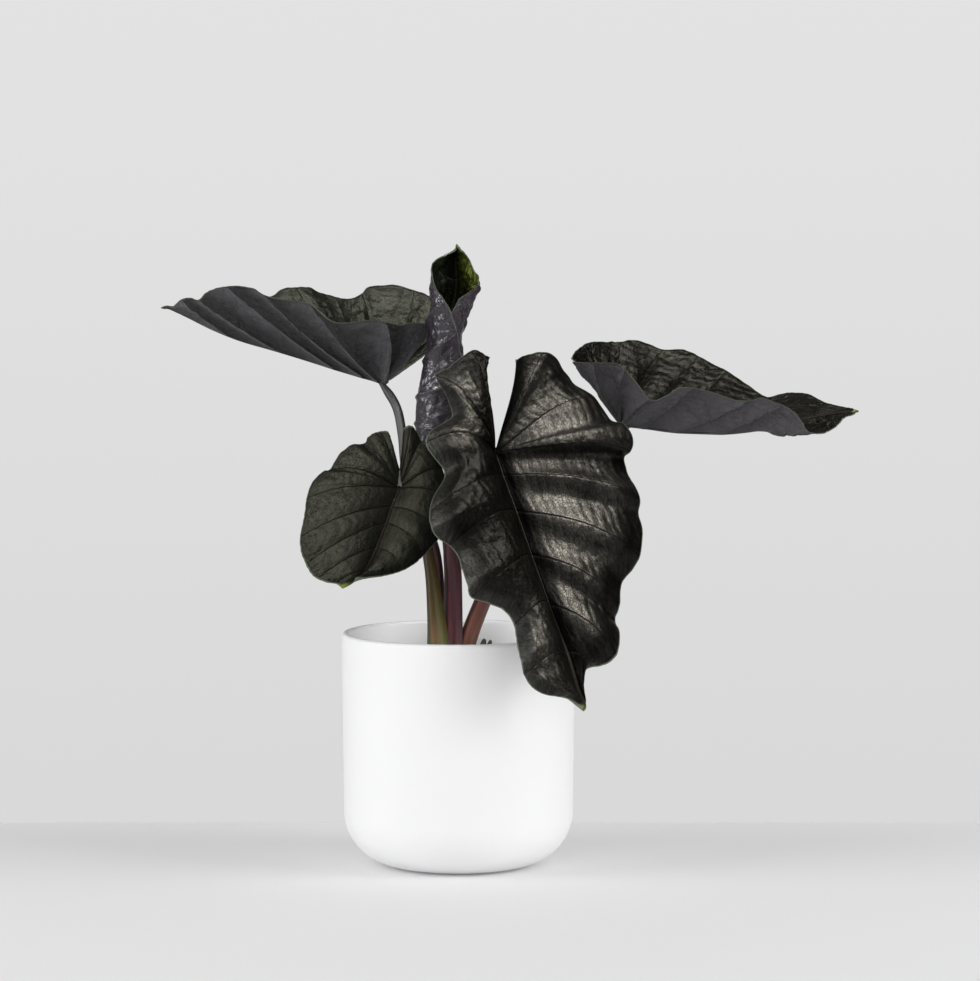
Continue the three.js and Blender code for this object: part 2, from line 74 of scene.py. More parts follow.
def smoothstep(x: np.ndarray, low: float, high: float) -> np.ndarray:
    """Ramps from 0 at low to 1 at high with level ends.

    Args:
        x: The values to ramp.
        low: Where the ramp starts.
        high: Where the ramp ends.

    Returns:
        A number from 0 to 1 for each value.
    """
    t = np.clip((x - low) / (high - low), 0.0, 1.0)
    return t * t * (3.0 - 2.0 * t)


def along_curve(points: Sequence[Sequence[float]], place: np.ndarray) -> np.ndarray:
    """Follows a uniform Catmull-Rom curve.

    Args:
        points: The points that the curve goes through.
        place: Positions along it: 0 is the first point, 1 the second and so on.

    Returns:
        A row of coordinates for each position.
    """
    knots = np.asarray(points, float)
    padded = np.vstack([2 * knots[0] - knots[1], knots, 2 * knots[-1] - knots[-2]])
    span = np.clip(np.floor(place).astype(int), 0, len(knots) - 2)
    u = (place - span)[:, None]
    before, start, end, after = (padded[span + k] for k in range(4))
    bend = 2 * before - 5 * start + 4 * end - after
    twist = 3 * (start - end) + after - before
    return start + 0.5 * ((end - before) * u + bend * u**2 + twist * u**3)


def lengths(rows: np.ndarray) -> np.ndarray:
    """Gives the length of each row vector, as a column."""
    return np.linalg.norm(rows, axis=1, keepdims=True)


class Wave:
    """A number or colour that varies over a surface: one output socket of a material."""

    def __init__(self, recipe: Recipe, socket: bpy.types.NodeSocket) -> None:
        """Wraps a socket.

        Args:
            recipe: The material that it belongs to.
            socket: The output that carries the value.
        """
        self.recipe = recipe
        self.socket = socket

    def math(self, operation: str, *values: Wave | float) -> Wave:
        """Adds a Math node.

        Args:
            operation: The node's operation.
            values: Its inputs in order.

        Returns:
            The node's result.
        """
        inputs = dict(enumerate(values))
        return self.recipe.node("ShaderNodeMath", {"operation": operation}, inputs)

    def __add__(self, other: Wave | float) -> Wave:
        """Adds."""
        return self.math("ADD", self, other)

    __radd__ = __add__

    def __sub__(self, other: Wave | float) -> Wave:
        """Subtracts."""
        return self.math("SUBTRACT", self, other)

    def __rsub__(self, other: float) -> Wave:
        """Subtracts from a number."""
        return self.math("SUBTRACT", other, self)

    def __mul__(self, other: Wave | float) -> Wave:
        """Multiplies."""
        return self.math("MULTIPLY", self, other)

    __rmul__ = __mul__

    def __truediv__(self, other: Wave | float) -> Wave:
        """Divides."""
        return self.math("DIVIDE", self, other)

    def size(self) -> Wave:
        """Drops the sign."""
        return self.math("ABSOLUTE", self)

    def from_whole(self) -> Wave:
        """Gives the distance to the nearest whole number, from 0 to 0.5."""
        return (self.math("FRACT", self + 0.5) - 0.5).size()

    def ramp(self, low: float, high: float, start: float = 0.0, end: float = 1.0) -> Wave:
        """Maps a range smoothly onto another and holds its ends.

        Args:
            low: The value that gives start.
            high: The value that gives end.
            start: The result at low and beyond.
            end: The result at high and beyond.

        Returns:
            The mapped value.
        """
        settings = {"interpolation_type": "SMOOTHSTEP"}
        inputs = {0: self, 1: low, 2: high, 3: start, 4: end}
        return self.recipe.node("ShaderNodeMapRange", settings, inputs)


class Recipe:
    """The nodes of one procedural material, or of the world."""

    def __init__(self, tree: bpy.types.NodeTree) -> None:
        """Starts an empty tree.

        Args:
            tree: The node tree to fill.
        """
        self.tree = tree
        self.tree.nodes.clear()

    def node(
        self,
        kind: str,
        settings: dict[str, Any] | None = None,
        inputs: dict[int | str, Any] | None = None,
        output: int | str = 0,
    ) -> Wave:
        """Adds one node.

        Args:
            kind: The node's type.
            settings: Attributes of the node, which are set before its sockets.
            inputs: A value or a Wave for each input.
            output: The output to give back.

        Returns:
            The chosen output.
        """
        made = self.tree.nodes.new(kind)
        for key, value in (settings or {}).items():
            setattr(made, key, value)
        for key, value in (inputs or {}).items():
            if isinstance(value, Wave):
                self.tree.links.new(value.socket, made.inputs[key])
            else:
                made.inputs[key].default_value = value
        return Wave(self, made.outputs[output])

    def attribute(self, name: str) -> Wave:
        """Gives a number that the mesh carries at its points."""
        return self.node("ShaderNodeAttribute", {"attribute_name": name}, {}, "Fac")

    def vector(self, operation: str, *values: Wave | Point) -> Wave:
        """Adds a Vector Math node.

        Args:
            operation: Its operation.
            values: Its inputs in order.

        Returns:
            The vector.
        """
        inputs = dict(enumerate(values))
        return self.node("ShaderNodeVectorMath", {"operation": operation}, inputs)

    def place(self, stretch: Point = (1, 1, 1)) -> Wave:
        """Gives object coordinates in millimetres.

        Args:
            stretch: How much longer a pattern becomes along each axis.

        Returns:
            The coordinates.
        """
        spot = self.node("ShaderNodeTexCoord", {}, {}, "Object")
        return self.vector("MULTIPLY", spot, tuple(1 / (MM * s) for s in stretch))

    def spot(self, x: Wave | float, y: Wave | float, z: Wave | float = 0.0) -> Wave:
        """Makes coordinates from three numbers.

        Args:
            x: The first.
            y: The second.
            z: The third.

        Returns:
            The coordinates.
        """
        return self.node("ShaderNodeCombineXYZ", {}, {0: x, 1: y, 2: z})

    def grain(
        self, size: float, detail: float = 3.0, rough: float = 0.55, where: Wave | None = None
    ) -> Wave:
        """Gives noise round 0.5.

        Args:
            size: The width of a blotch in millimetres.
            detail: How many finer layers it has.
            rough: How strong the finer layers are.
            where: The coordinates, or none for the object's own.

        Returns:
            The noise.
        """
        inputs = {"Vector": where or self.place(), "Scale": 1 / size, "Detail": detail, "Roughness": rough}
        return self.node("ShaderNodeTexNoise", {}, inputs)

    def cells(self, size: float, feature: str = "F1", where: Wave | None = None) -> Wave:
        """Gives the distance pattern of irregular cells.

        Args:
            size: The width of a cell in millimetres.
            feature: The Voronoi feature, such as DISTANCE_TO_EDGE.
            where: The coordinates, or none for the object's own.

        Returns:
            The distance in cell widths.
        """
        inputs = {"Vector": where or self.place(), "Scale": 1 / size}
        return self.node("ShaderNodeTexVoronoi", {"feature": feature}, inputs, "Distance")

    def warped(self, size: float, shift: float, where: Wave | None = None) -> Wave:
        """Bends coordinates about.

        Args:
            size: The width of a bend in millimetres.
            shift: How far it pushes a point, in millimetres.
            where: The coordinates, or none for the object's own.

        Returns:
            The bent coordinates.
        """
        start = where or self.place()
        push = self.node("ShaderNodeTexNoise", {}, {"Vector": start, "Scale": 1 / size, "Detail": 2.0}, 1)
        centred = self.vector("SUBTRACT", push, (0.5, 0.5, 0.5))
        return self.vector("MULTIPLY_ADD", centred, (2 * shift,) * 3, start)

    def mix(self, share: Wave | float, low: Wave | Colour, high: Wave | Colour) -> Wave:
        """Mixes two colours.

        Args:
            share: How much of high there is, from 0 to 1.
            low: The colour at 0.
            high: The colour at 1.

        Returns:
            The mixed colour.
        """
        inputs = {0: share, 6: opaque(low), 7: opaque(high)}
        return self.node("ShaderNodeMix", {"data_type": "RGBA"}, inputs, 2)

    def bump(self, height: Wave, depth: float, under: Wave | None = None) -> Wave:
        """Turns a height from 0 to 1 into a normal.

        Args:
            height: The height.
            depth: How far 1 stands above 0, in millimetres.
            under: A coarser normal that it lies on.

        Returns:
            The normal.
        """
        inputs: dict[int | str, Any] = {"Height": height, "Distance": depth * MM, "Strength": 1.0}
        if under is not None:
            inputs["Normal"] = under
        return self.node("ShaderNodeBump", {}, inputs)

    def surface(self, colour: Wave | Colour, **sockets: Wave | float | tuple[float, ...]) -> None:
        """Adds the surface shader and shows it.

        Args:
            colour: The base colour.
            sockets: The shader's other inputs, with _ for a space.
        """
        inputs: dict[int | str, Any] = {"Base Color": opaque(colour)}
        inputs |= {name.replace("_", " "): value for name, value in sockets.items()}
        shader = self.node("ShaderNodeBsdfPrincipled", {}, inputs)
        self.show(shader, "ShaderNodeOutputMaterial")

    def show(self, shader: Wave, kind: str) -> None:
        """Links a shader to the tree's output.

        Args:
            shader: The shader.
            kind: The output node's type.
        """
        end = self.tree.nodes.new(kind)
        self.tree.links.new(shader.socket, end.inputs["Surface"])


def opaque(colour: Wave | Colour) -> Any:
    """Adds full opacity to a plain colour."""
    return colour if isinstance(colour, Wave) else (*colour, 1.0)


def new_material(name: str) -> tuple[bpy.types.Material, Recipe]:
    """Starts a material.

    Args:
        name: Its name.

    Returns:
        The material and its empty recipe.
    """
    material = bpy.data.materials.new(name)
    material.use_nodes = True
    return material, Recipe(material.node_tree)


class Slot(Enum):
    """The material slots."""

    POT = "pot"
    SOIL = "soil"
    HUSK = "dry_sheath"
    RED_STALK = "petiole_red"
    OLIVE_STALK = "petiole_olive"
    LEAF = "leaf"
    NEW_LEAF = "new_leaf"


@dataclass(frozen=True)
class Glaze:
    """The pot's smooth satin white."""

    body: Colour = (0.86, 0.86, 0.865)
    shade: Colour = (0.85, 0.85, 0.85)
    polish: float = 0.54
    matt: float = 0.6
    cloud: float = 60.0
    peel: float = 1.2
    peel_depth: float = 0.004

    def make(self) -> bpy.types.Material:
        """Builds the material.

        Returns:
            The glaze, with faint clouds in its tone and a slight orange peel.
        """
        material, recipe = new_material("satin_glaze")
        clouds = recipe.grain(self.cloud, 2)
        colour = recipe.mix(clouds.ramp(0.3, 0.8), self.body, self.shade)
        rough = clouds.ramp(0.2, 0.8, self.polish, self.matt)
        normal = recipe.bump(recipe.grain(self.peel, 2), self.peel_depth)
        recipe.surface(colour, Roughness=rough, Normal=normal, IOR=1.45)
        return material


@dataclass(frozen=True)
class Earth:
    """Dark, moist potting soil."""

    dark: Colour = (0.012, 0.008, 0.006)
    brown: Colour = (0.06, 0.035, 0.02)
    grit: Colour = (0.16, 0.12, 0.08)
    crumb: float = 2.4
    clod: float = 7.0
    speck: float = 3.4
    depth: float = 1.6

    def make(self) -> bpy.types.Material:
        """Builds the material.

        Returns:
            The soil, with crumbs, fibres and pale grit.
        """
        material, recipe = new_material("potting_soil")
        crumbs = recipe.cells(self.crumb, where=recipe.warped(3, 0.8))
        clods = recipe.grain(self.clod, 5, 0.7)
        grit = recipe.cells(self.speck, where=recipe.warped(5, 1.5))
        colour = recipe.mix(clods.ramp(0.35, 0.7), self.dark, self.brown)
        colour = recipe.mix(grit.ramp(0.2, 0.12), colour, self.grit)
        height = clods * 0.7 + (1 - crumbs) * 0.3
        normal = recipe.bump(recipe.grain(0.8, 3), 0.25, recipe.bump(height, self.depth))
        recipe.surface(colour, Roughness=clods.ramp(0.3, 0.7, 0.75, 0.98), Normal=normal)
        return material


@dataclass(frozen=True)
class Bark:
    """Weathered pine bark in layered flakes."""

    core: Colour = (0.11, 0.05, 0.026)
    crust: Colour = (0.035, 0.022, 0.015)
    dust: Colour = (0.22, 0.13, 0.07)
    layer: float = 1.4
    layer_stretch: Point = (3, 1, 0.5)
    patch: float = 4.0

    def make(self) -> bpy.types.Material:
        """Builds the material.

        Returns:
            The bark, streaked along its grain.
        """
        material, recipe = new_material("pine_bark")
        tone = recipe.attribute("tone")
        layers = recipe.grain(self.layer, 4, 0.6, recipe.warped(4, 1.2, recipe.place(self.layer_stretch)))
        patches = recipe.grain(self.patch, 3)
        colour = recipe.mix(tone, self.crust, self.core)
        colour = recipe.mix(layers.ramp(0.45, 0.75) * tone, colour, self.dust)
        colour = recipe.mix(patches.ramp(0.55, 0.7), colour, self.crust)
        normal = recipe.bump(layers, 0.6, recipe.bump(patches, 0.8))
        recipe.surface(colour, Roughness=layers.ramp(0.3, 0.7, 0.7, 0.95), Normal=normal)
        return material


@dataclass(frozen=True)
class Perlite:
    """Chalky white volcanic grains."""

    chalk: Colour = (0.62, 0.60, 0.56)
    pit: Colour = (0.32, 0.29, 0.25)
    pit_gap: float = 0.7
    pit_depth: float = 0.3

    def make(self) -> bpy.types.Material:
        """Builds the material.

        Returns:
            The perlite, pitted and slightly soiled.
        """
        material, recipe = new_material("perlite_grains")
        pits = recipe.cells(self.pit_gap)
        soil = recipe.grain(2.5, 3)
        colour = recipe.mix(soil.ramp(0.5, 0.75), self.chalk, self.pit)
        normal = recipe.bump(pits, self.pit_depth)
        recipe.surface(colour, Roughness=soil.ramp(0.3, 0.7, 0.85, 0.95), Normal=normal)
        return material


@dataclass(frozen=True)
class Husk:
    """A dry, papery leaf sheath."""

    dark: Colour = (0.035, 0.029, 0.024)
    straw: Colour = (0.12, 0.105, 0.08)
    fibre: float = 0.5
    fibre_length: float = 14.0
    fibre_depth: float = 0.4

    def make(self) -> bpy.types.Material:
        """Builds the material.

        Returns:
            The husk, ribbed along its length.
        """
        material, recipe = new_material("dry_husk")
        fibres = recipe.grain(self.fibre, 3, 0.6, recipe.place((1, 1, self.fibre_length)))
        blotches = recipe.grain(5, 3)
        colour = recipe.mix(fibres.ramp(0.4, 0.75) * blotches.ramp(0.3, 0.7), self.dark, self.straw)
        normal = recipe.bump(fibres, self.fibre_depth, recipe.bump(blotches, 0.5))
        recipe.surface(colour, Roughness=fibres.ramp(0.3, 0.7, 0.6, 0.85), Normal=normal)
        return material


@dataclass(frozen=True)
class StalkSkin:
    """The fleshy skin of a petiole, which changes colour from its foot to its top."""

    name: str
    foot: Colour
    middle: Colour
    top: Colour
    flush: Colour
    polish: float = 0.28
    stripes: float = 9.0
    stripe_length: float = 30.0
    fine: float = 0.28
    fleck: float = 1.6

    def make(self) -> bpy.types.Material:
        """Builds the material.

        Returns:
            The skin, with long streaks and a waxy gloss.
        """
        material, recipe = new_material(self.name)
        along = recipe.attribute("along")
        length = recipe.attribute("length")
        around = recipe.attribute("around")
        lines = recipe.spot(around * self.stripes, length / self.stripe_length)
        streaks = recipe.grain(1, 4, 0.6, lines)
        fine = recipe.grain(self.fine, 3, 0.6, lines)
        flecks = recipe.cells(self.fleck, where=recipe.place((1, 1, 3)))
        colour = recipe.mix(along.ramp(0.04, 0.4), self.foot, self.middle)
        colour = recipe.mix(along.ramp(0.45, 0.85), colour, self.top)
        flushed = streaks.ramp(0.42, 0.68) * along.ramp(0.55, 0.85, 1, 0.15)
        colour = recipe.mix(flushed, colour, self.flush)
        colour = recipe.mix(flecks.ramp(0.22, 0.1) * 0.35, colour, self.top)
        rough = streaks.ramp(0.3, 0.7, self.polish, self.polish + 0.16)
        normal = recipe.bump(fine, 0.05, recipe.bump(streaks, 0.14))
        recipe.surface(colour, Roughness=rough, Normal=normal, IOR=1.42)
        return material


@dataclass(frozen=True)
class VeinPattern:
    """The lines that a leaf's surface carries, as masks and heights for its two faces. Widths and
    reaches are in millimetres, and the painted shade lies along the sinus and the midrib, where
    the real leaf lies in shade in its hollow."""

    midrib: float = 1.3
    ridge: float = 0.6
    vein: float = 0.6
    vein_core: float = 0.3
    vein_taper: float = 0.45
    bay_length: float = 24.0
    cross_gap: float = 5.2
    cross_width: float = 0.26
    cross_bend: float = 1.1
    mesh_gap: float = 1.9
    mesh_width: float = 0.15
    margin: float = 0.6
    rim: float = 7.0
    lobe_end: tuple[float, float] = (0.22, 0.32)
    lobe_shade: float = 24.0
    left_shade: float = 11.0
    right_shade: float = 2.0
    shade_fade: float = 9.0

    def measure(self, recipe: Recipe) -> dict[str, Wave]:
        """Reads the pattern from the mesh.

        Args:
            recipe: The material to add nodes to.

        Returns:
            Masks from 0 to 1: midrib, vein, cross and mesh lines, the margin and the painted shade of
            the hollow along the sinus and the midrib, and the coordinates and distances that they came
            from.
        """
        bay = recipe.attribute("bay")
        bay_mm = recipe.attribute("bay_mm")
        side = recipe.attribute("side")
        reach = recipe.attribute("reach_mm")
        edge_mm = recipe.attribute("margin_mm")
        along = recipe.attribute("along")
        out = side.size() * reach
        on_right = side.ramp(-0.01, 0.01)
        from_vein = bay.from_whole() * bay_mm
        thinned = from_vein / side.size().ramp(0.0, 1.0, 1.0, self.vein_taper)
        within = bay.math("FRACT", bay)
        flat = recipe.spot(out, bay * self.bay_length, on_right * 80)
        bends = recipe.grain(9, 2, 0.5, flat)
        phase = out / self.cross_gap + within * (1.25 - within) * 1.3 + bends * self.cross_bend
        from_cross = phase.from_whole() * self.cross_gap
        mesh = recipe.cells(self.mesh_gap, "DISTANCE_TO_EDGE", recipe.warped(3.5, 0.7))
        clear = from_vein.ramp(0.2, 1.4)
        # Painted shade: the hollow mask is 1 by the sinus and within the shade's reach of the midrib, and
        # fades to 0 beyond it; it darkens the face where the real leaf lies in shade.
        by_sinus = (along * side.ramp(-0.01, 0.01, 0.65, 1.0)).ramp(0.12, 0.05)
        left_shade = along.ramp(*self.lobe_end, self.lobe_shade, self.left_shade)
        shade = left_shade + (self.right_shade - left_shade) * on_right
        lit = (out - shade).ramp(0.0, self.shade_fade)
        return {
            "along": along,
            "side": side,
            "flat": flat,
            "out": out,
            "within": within,
            "midrib": out.ramp(self.midrib, self.midrib * 0.55),
            "ridge": out.ramp(self.ridge, self.ridge / 2) * recipe.attribute("start").ramp(0.005, 0.04),
            "vein": thinned.ramp(self.vein, self.vein * 0.35),
            "core": thinned.ramp(self.vein_core, 0.08),
            "cross": from_cross.ramp(self.cross_width, self.cross_width * 0.2) * clear,
            "pillow": from_cross.ramp(0.0, self.cross_gap * 0.45) * clear,
            "mesh": mesh.ramp(self.mesh_width, 0.03),
            "margin": edge_mm.ramp(self.margin, 0.2),
            "rim": edge_mm.ramp(self.rim, 0.5),
            "edge_mm": edge_mm,
            "hollow": 1 - (1 - by_sinus) * lit,
        }


@dataclass(frozen=True)
class VelvetFace:
    """The upper face of a blade: near black, with a bronze sheen on every fine wrinkle. The painted
    shade fields say how much the colour is blackened and the sheen taken away along the hollow, in
    the left half, near the midrib and at the right rim, where the real leaf lies in shade. The glint
    net is painted glints along the vein net, the pale vein cores on the right half are a painted
    highlight, and the flush is painted light near the left margin."""

    name: str
    shadow: Colour = (0.003, 0.0033, 0.0025)
    bronze: Colour = (0.0075, 0.0068, 0.005)
    green: Colour = (0.004, 0.0065, 0.0042)
    vein_and_painted_shade_black: Colour = (0.002, 0.002, 0.002)
    ridge: Colour = (0.024, 0.019, 0.016)
    glint_net: Colour = (0.055, 0.054, 0.045)
    edge: Colour = (0.10, 0.12, 0.085)
    tip: Colour = (0.16, 0.20, 0.06)
    flush: Colour = (0.0, 0.0, 0.0)
    flushed: float = 0.0
    tip_reach: float = 0.012
    polish: float = 0.35
    matt: float = 0.42
    shine: float = 0.75
    tint: Colour = (1.0, 0.95, 0.87)
    wrinkle: float = 0.7
    crinkle: float = 0.11
    dent: float = 3.0
    relief: float = 0.45
    groove: float = 0.45
    net_depth: float = 0.045
    cloud: float = 26.0
    painted_hollow_shade: float = 0.85
    painted_shade_left: float = 0.0
    painted_shade_middle: float = 0.4
    painted_shade_rim: float = 0.0
    glint_net_left: float = 0.3
    glint_net_right: float = 0.3
    keel_shine: float = 0.4
    pattern: VeinPattern = field(default_factory=VeinPattern)

    def make(self) -> bpy.types.Material:
        """Builds the material.

        Returns:
            The face, with its sunken veins, reticulation, wrinkles and pale margin, its painted shade,
            painted glints and painted highlight, and the painted light of its flush.
        """
        material, recipe = new_material(self.name)
        marks = self.pattern.measure(recipe)
        along, side = marks["along"], marks["side"]
        clouds = recipe.grain(self.cloud, 3, 0.55)
        stretched = recipe.vector("MULTIPLY", marks["flat"], (1.0, 0.45, 1.0))
        wrinkles = recipe.grain(self.wrinkle, 2, 0.5, stretched)
        hammered = recipe.grain(self.dent, 3, 0.6, recipe.warped(6, 1.5))
        lines = 1 - (1 - marks["midrib"]) * (1 - marks["vein"])
        dull = 1 - (1 - lines) * (1 - marks["cross"] * 0.6) * (1 - marks["mesh"] * 0.32)
        # Painted shade: these masks blacken the colour and take away the sheen inside the left half, in the
        # hollow, near the midrib and at the right rim, where the real leaf faces away from the light.
        past_lobe = along.ramp(0.26, 0.4) * along.ramp(0.6, 0.85, 1.0, 0.3)
        painted_left_shade_mask = side.ramp(0.0, -0.12) * side.ramp(-1.0, -0.84) * past_lobe
        painted_hollow_shade = marks["hollow"] * along.ramp(0.5, 0.8, self.painted_hollow_shade, self.painted_hollow_shade * 0.4)
        painted_rim_shade_mask = side.ramp(0.1, 0.3) * marks["edge_mm"].ramp(14, 6)
        # Painted shade near the midrib, where the blade's valley lies in shade.
        middle = marks["out"].ramp(12, 2) * self.painted_shade_middle
        patches = clouds.ramp(0.42, 0.62, 0.45, 0.0)
        lit_share = (1 - painted_hollow_shade) * (1 - painted_left_shade_mask * self.painted_shade_left)
        lit_share = lit_share * (1 - middle) * (1 - painted_rim_shade_mask * self.painted_shade_rim) * (1 - patches)
        specks = wrinkles.ramp(0.38, 0.62, 0.5, 0.0)
        veins_and_painted_shade = 1 - (1 - dull * 0.9) * lit_share * (1 - specks)
        veins_and_painted_shade = veins_and_painted_shade * (1 - marks["margin"]) * (1 - marks["ridge"] * self.keel_shine)
        colour = recipe.mix(clouds.ramp(0.38, 0.66), self.shadow, self.bronze)
        colour = recipe.mix(marks["rim"] * 0.6, colour, self.green)
        # Painted light: the flush colour brightens the face near its left margin, where light reaches into
        # the rolled leaf.
        lit = side.ramp(-0.1, -0.5) * marks["edge_mm"].ramp(16, 3) * self.flushed
        colour = recipe.mix(lit * wrinkles.ramp(0.2, 0.6, 0.5, 1.0), colour, self.flush)
        # The veins and the painted shade take the near-black colour and lose their sheen.
        colour = recipe.mix(veins_and_painted_shade * 0.9, colour, self.vein_and_painted_shade_black)
        # Painted glints: a pale colour laid along the thin vein-net lines, standing in for the sparkle of
        # light on them.
        net_glints = marks["mesh"] * side.ramp(-0.02, 0.02, self.glint_net_left, self.glint_net_right)
        colour = recipe.mix(net_glints * clouds.ramp(0.35, 0.6, 1.0, 0.4), colour, self.glint_net)
        # Painted highlight: the vein cores on the right half take the paler ridge colour, as raised veins
        # catching the light; the midrib ridge takes it too.
        painted_vein_highlight = marks["core"] * side.ramp(0.0, 0.04) * 0.35
        colour = recipe.mix(1 - (1 - painted_vein_highlight) * (1 - marks["ridge"] * 0.8), colour, self.ridge)
        colour = recipe.mix(marks["margin"], colour, self.edge)
        near_tip = along.ramp(1 - self.tip_reach * 2, 1 - self.tip_reach * 0.6)
        colour = recipe.mix(near_tip, colour, self.tip)
        rough = wrinkles.ramp(0.3, 0.7, self.polish, self.matt)
        rough = rough + (0.8 - rough) * dull
        coarse = recipe.bump(hammered * 0.5 + marks["pillow"] * 0.5, self.relief)
        grooved = (1 - marks["vein"]) * (1 - marks["midrib"] * 0.6)
        grooves = recipe.bump(grooved, self.groove, coarse)
        sunk = recipe.bump(1 - marks["mesh"], self.net_depth, grooves)
        normal = recipe.bump(wrinkles, self.crinkle, sunk)
        gloss = {"IOR": 1.5, "Specular_IOR_Level": self.shine, "Specular_Tint": opaque(self.tint)}
        recipe.surface(colour, Metallic=veins_and_painted_shade, Roughness=rough, Normal=normal, **gloss)
        return material


@dataclass(frozen=True)
class UnderFace:
    """The lower face of a blade: charcoal, pleated between its ribs, with painted light and shade
    that run across each pleat from just past one rib to just before the next, and paler ribs."""

    name: str
    ground: Colour = (0.010, 0.010, 0.0105)
    pale_tone_and_painted_light: Colour = (0.078, 0.075, 0.080)
    rib: Colour = (0.13, 0.13, 0.13)
    edge: Colour = (0.10, 0.11, 0.08)
    painted_light_past_rib: float = 1.0
    painted_light_before_rib: float = 0.0
    polish: float = 0.45
    matt: float = 0.6
    shine: float = 0.5
    crease: float = 0.3
    streak: float = 0.2
    streak_size: float = 1.1
    pucker_size: float = 9.0
    rib_rise: float = 0.35
    cloud: float = 16.0
    pattern: VeinPattern = field(default_factory=VeinPattern)

    def make(self) -> bpy.types.Material:
        """Builds the material.

        Returns:
            The face, with raised ribs, fine streaks, and painted light and shade that run from rib to rib.
        """
        material, recipe = new_material(self.name)
        marks = self.pattern.measure(recipe)
        clouds = recipe.grain(self.cloud, 3, 0.6)
        stretched = recipe.vector("MULTIPLY", marks["flat"], (0.3, 1.0, 1.0))
        streaks = recipe.grain(self.streak_size, 3, 0.6, stretched)
        bends = recipe.warped(self.pucker_size, 4)
        puckers = (recipe.grain(self.pucker_size, 2, 0.5, bends) - 0.5).size() * 3
        # Painted light and shade: each pleat runs from one share of the pale tone just past a rib to
        # another just before the next, as if lit on one side of each fold.
        painted_pleat_light = marks["within"].ramp(0.0, 0.85, self.painted_light_past_rib, self.painted_light_before_rib)
        painted_pleat_light = painted_pleat_light * clouds.ramp(0.3, 0.7, 0.6, 1.2)
        colour = recipe.mix(painted_pleat_light, self.ground, self.pale_tone_and_painted_light)
        colour = recipe.mix(streaks.ramp(0.5, 0.8) * 0.4, colour, self.pale_tone_and_painted_light)
        colour = recipe.mix(marks["cross"] * 0.2, colour, self.rib)
        # Paler ribs: partly their own tone, partly a painted highlight where the raised ribs catch the
        # light.
        colour = recipe.mix(marks["vein"] * 0.7 + marks["midrib"] * 0.25, colour, self.rib)
        colour = recipe.mix(marks["margin"] * 0.8, colour, self.edge)
        height = puckers * 0.8 + marks["cross"] * 0.2
        coarse = recipe.bump(height, self.crease * 2.5)
        ribs = recipe.bump(marks["vein"], self.rib_rise, coarse)
        normal = recipe.bump(streaks, self.streak, ribs)
        rough = streaks.ramp(0.3, 0.7, self.polish, self.matt)
        gloss = {"IOR": 1.4, "Specular_IOR_Level": self.shine}
        recipe.surface(colour, Roughness=rough, Normal=normal, **gloss)
        return material


def finished(
    bm: bmesh.types.BMesh, name: str, slot: Slot, *looks: bpy.types.Material
) -> bpy.types.Object:
    """Makes a smooth-shaded piece from a bmesh, scaled to metres.

    Args:
        bm: The mesh in millimetres, which is used up.
        name: The piece's name.
        slot: The slot for its finish, which is not used.
        looks: Its materials in order.

    Returns:
        The piece, riding on the plant's one body.
    """
    bmesh.ops.scale(bm, vec=(MM, MM, MM), verts=bm.verts)
    mesh = bpy.data.meshes.new(name)
    bm.to_mesh(mesh)
    bm.free()
    mesh.shade_smooth()
    for look in looks:
        mesh.materials.append(look)
    piece = bpy.data.objects.new(name, mesh)
    bpy.context.scene.collection.objects.link(piece)
    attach(piece, "root")
    log.info("%s: %d faces", name, len(mesh.polygons))
    return piece


def sheet(columns: int, rows: int, shape: Shape) -> bmesh.types.BMesh:
    """Lays a square grid on a surface.

    Args:
        columns: Cells along the first direction.
        rows: Cells along the second.
        shape: Gives the points, in millimetres, and named numbers for places from 0 to 1.

    Returns:
        The sheet as a bmesh, with the named numbers as point attributes.
    """
    bm = bmesh.new()
    bmesh.ops.create_grid(bm, x_segments=columns, y_segments=rows, size=0.5)
    flat = np.array([v.co[:2] for v in bm.verts]) + 0.5
    points, numbers = shape(flat[:, 0], flat[:, 1])
    layers = {name: bm.verts.layers.float.new(name) for name in numbers}
    for i, vert in enumerate(bm.verts):
        vert.co = points[i]
        for name, layer in layers.items():
            vert[layer] = float(numbers[name][i])
    return bm


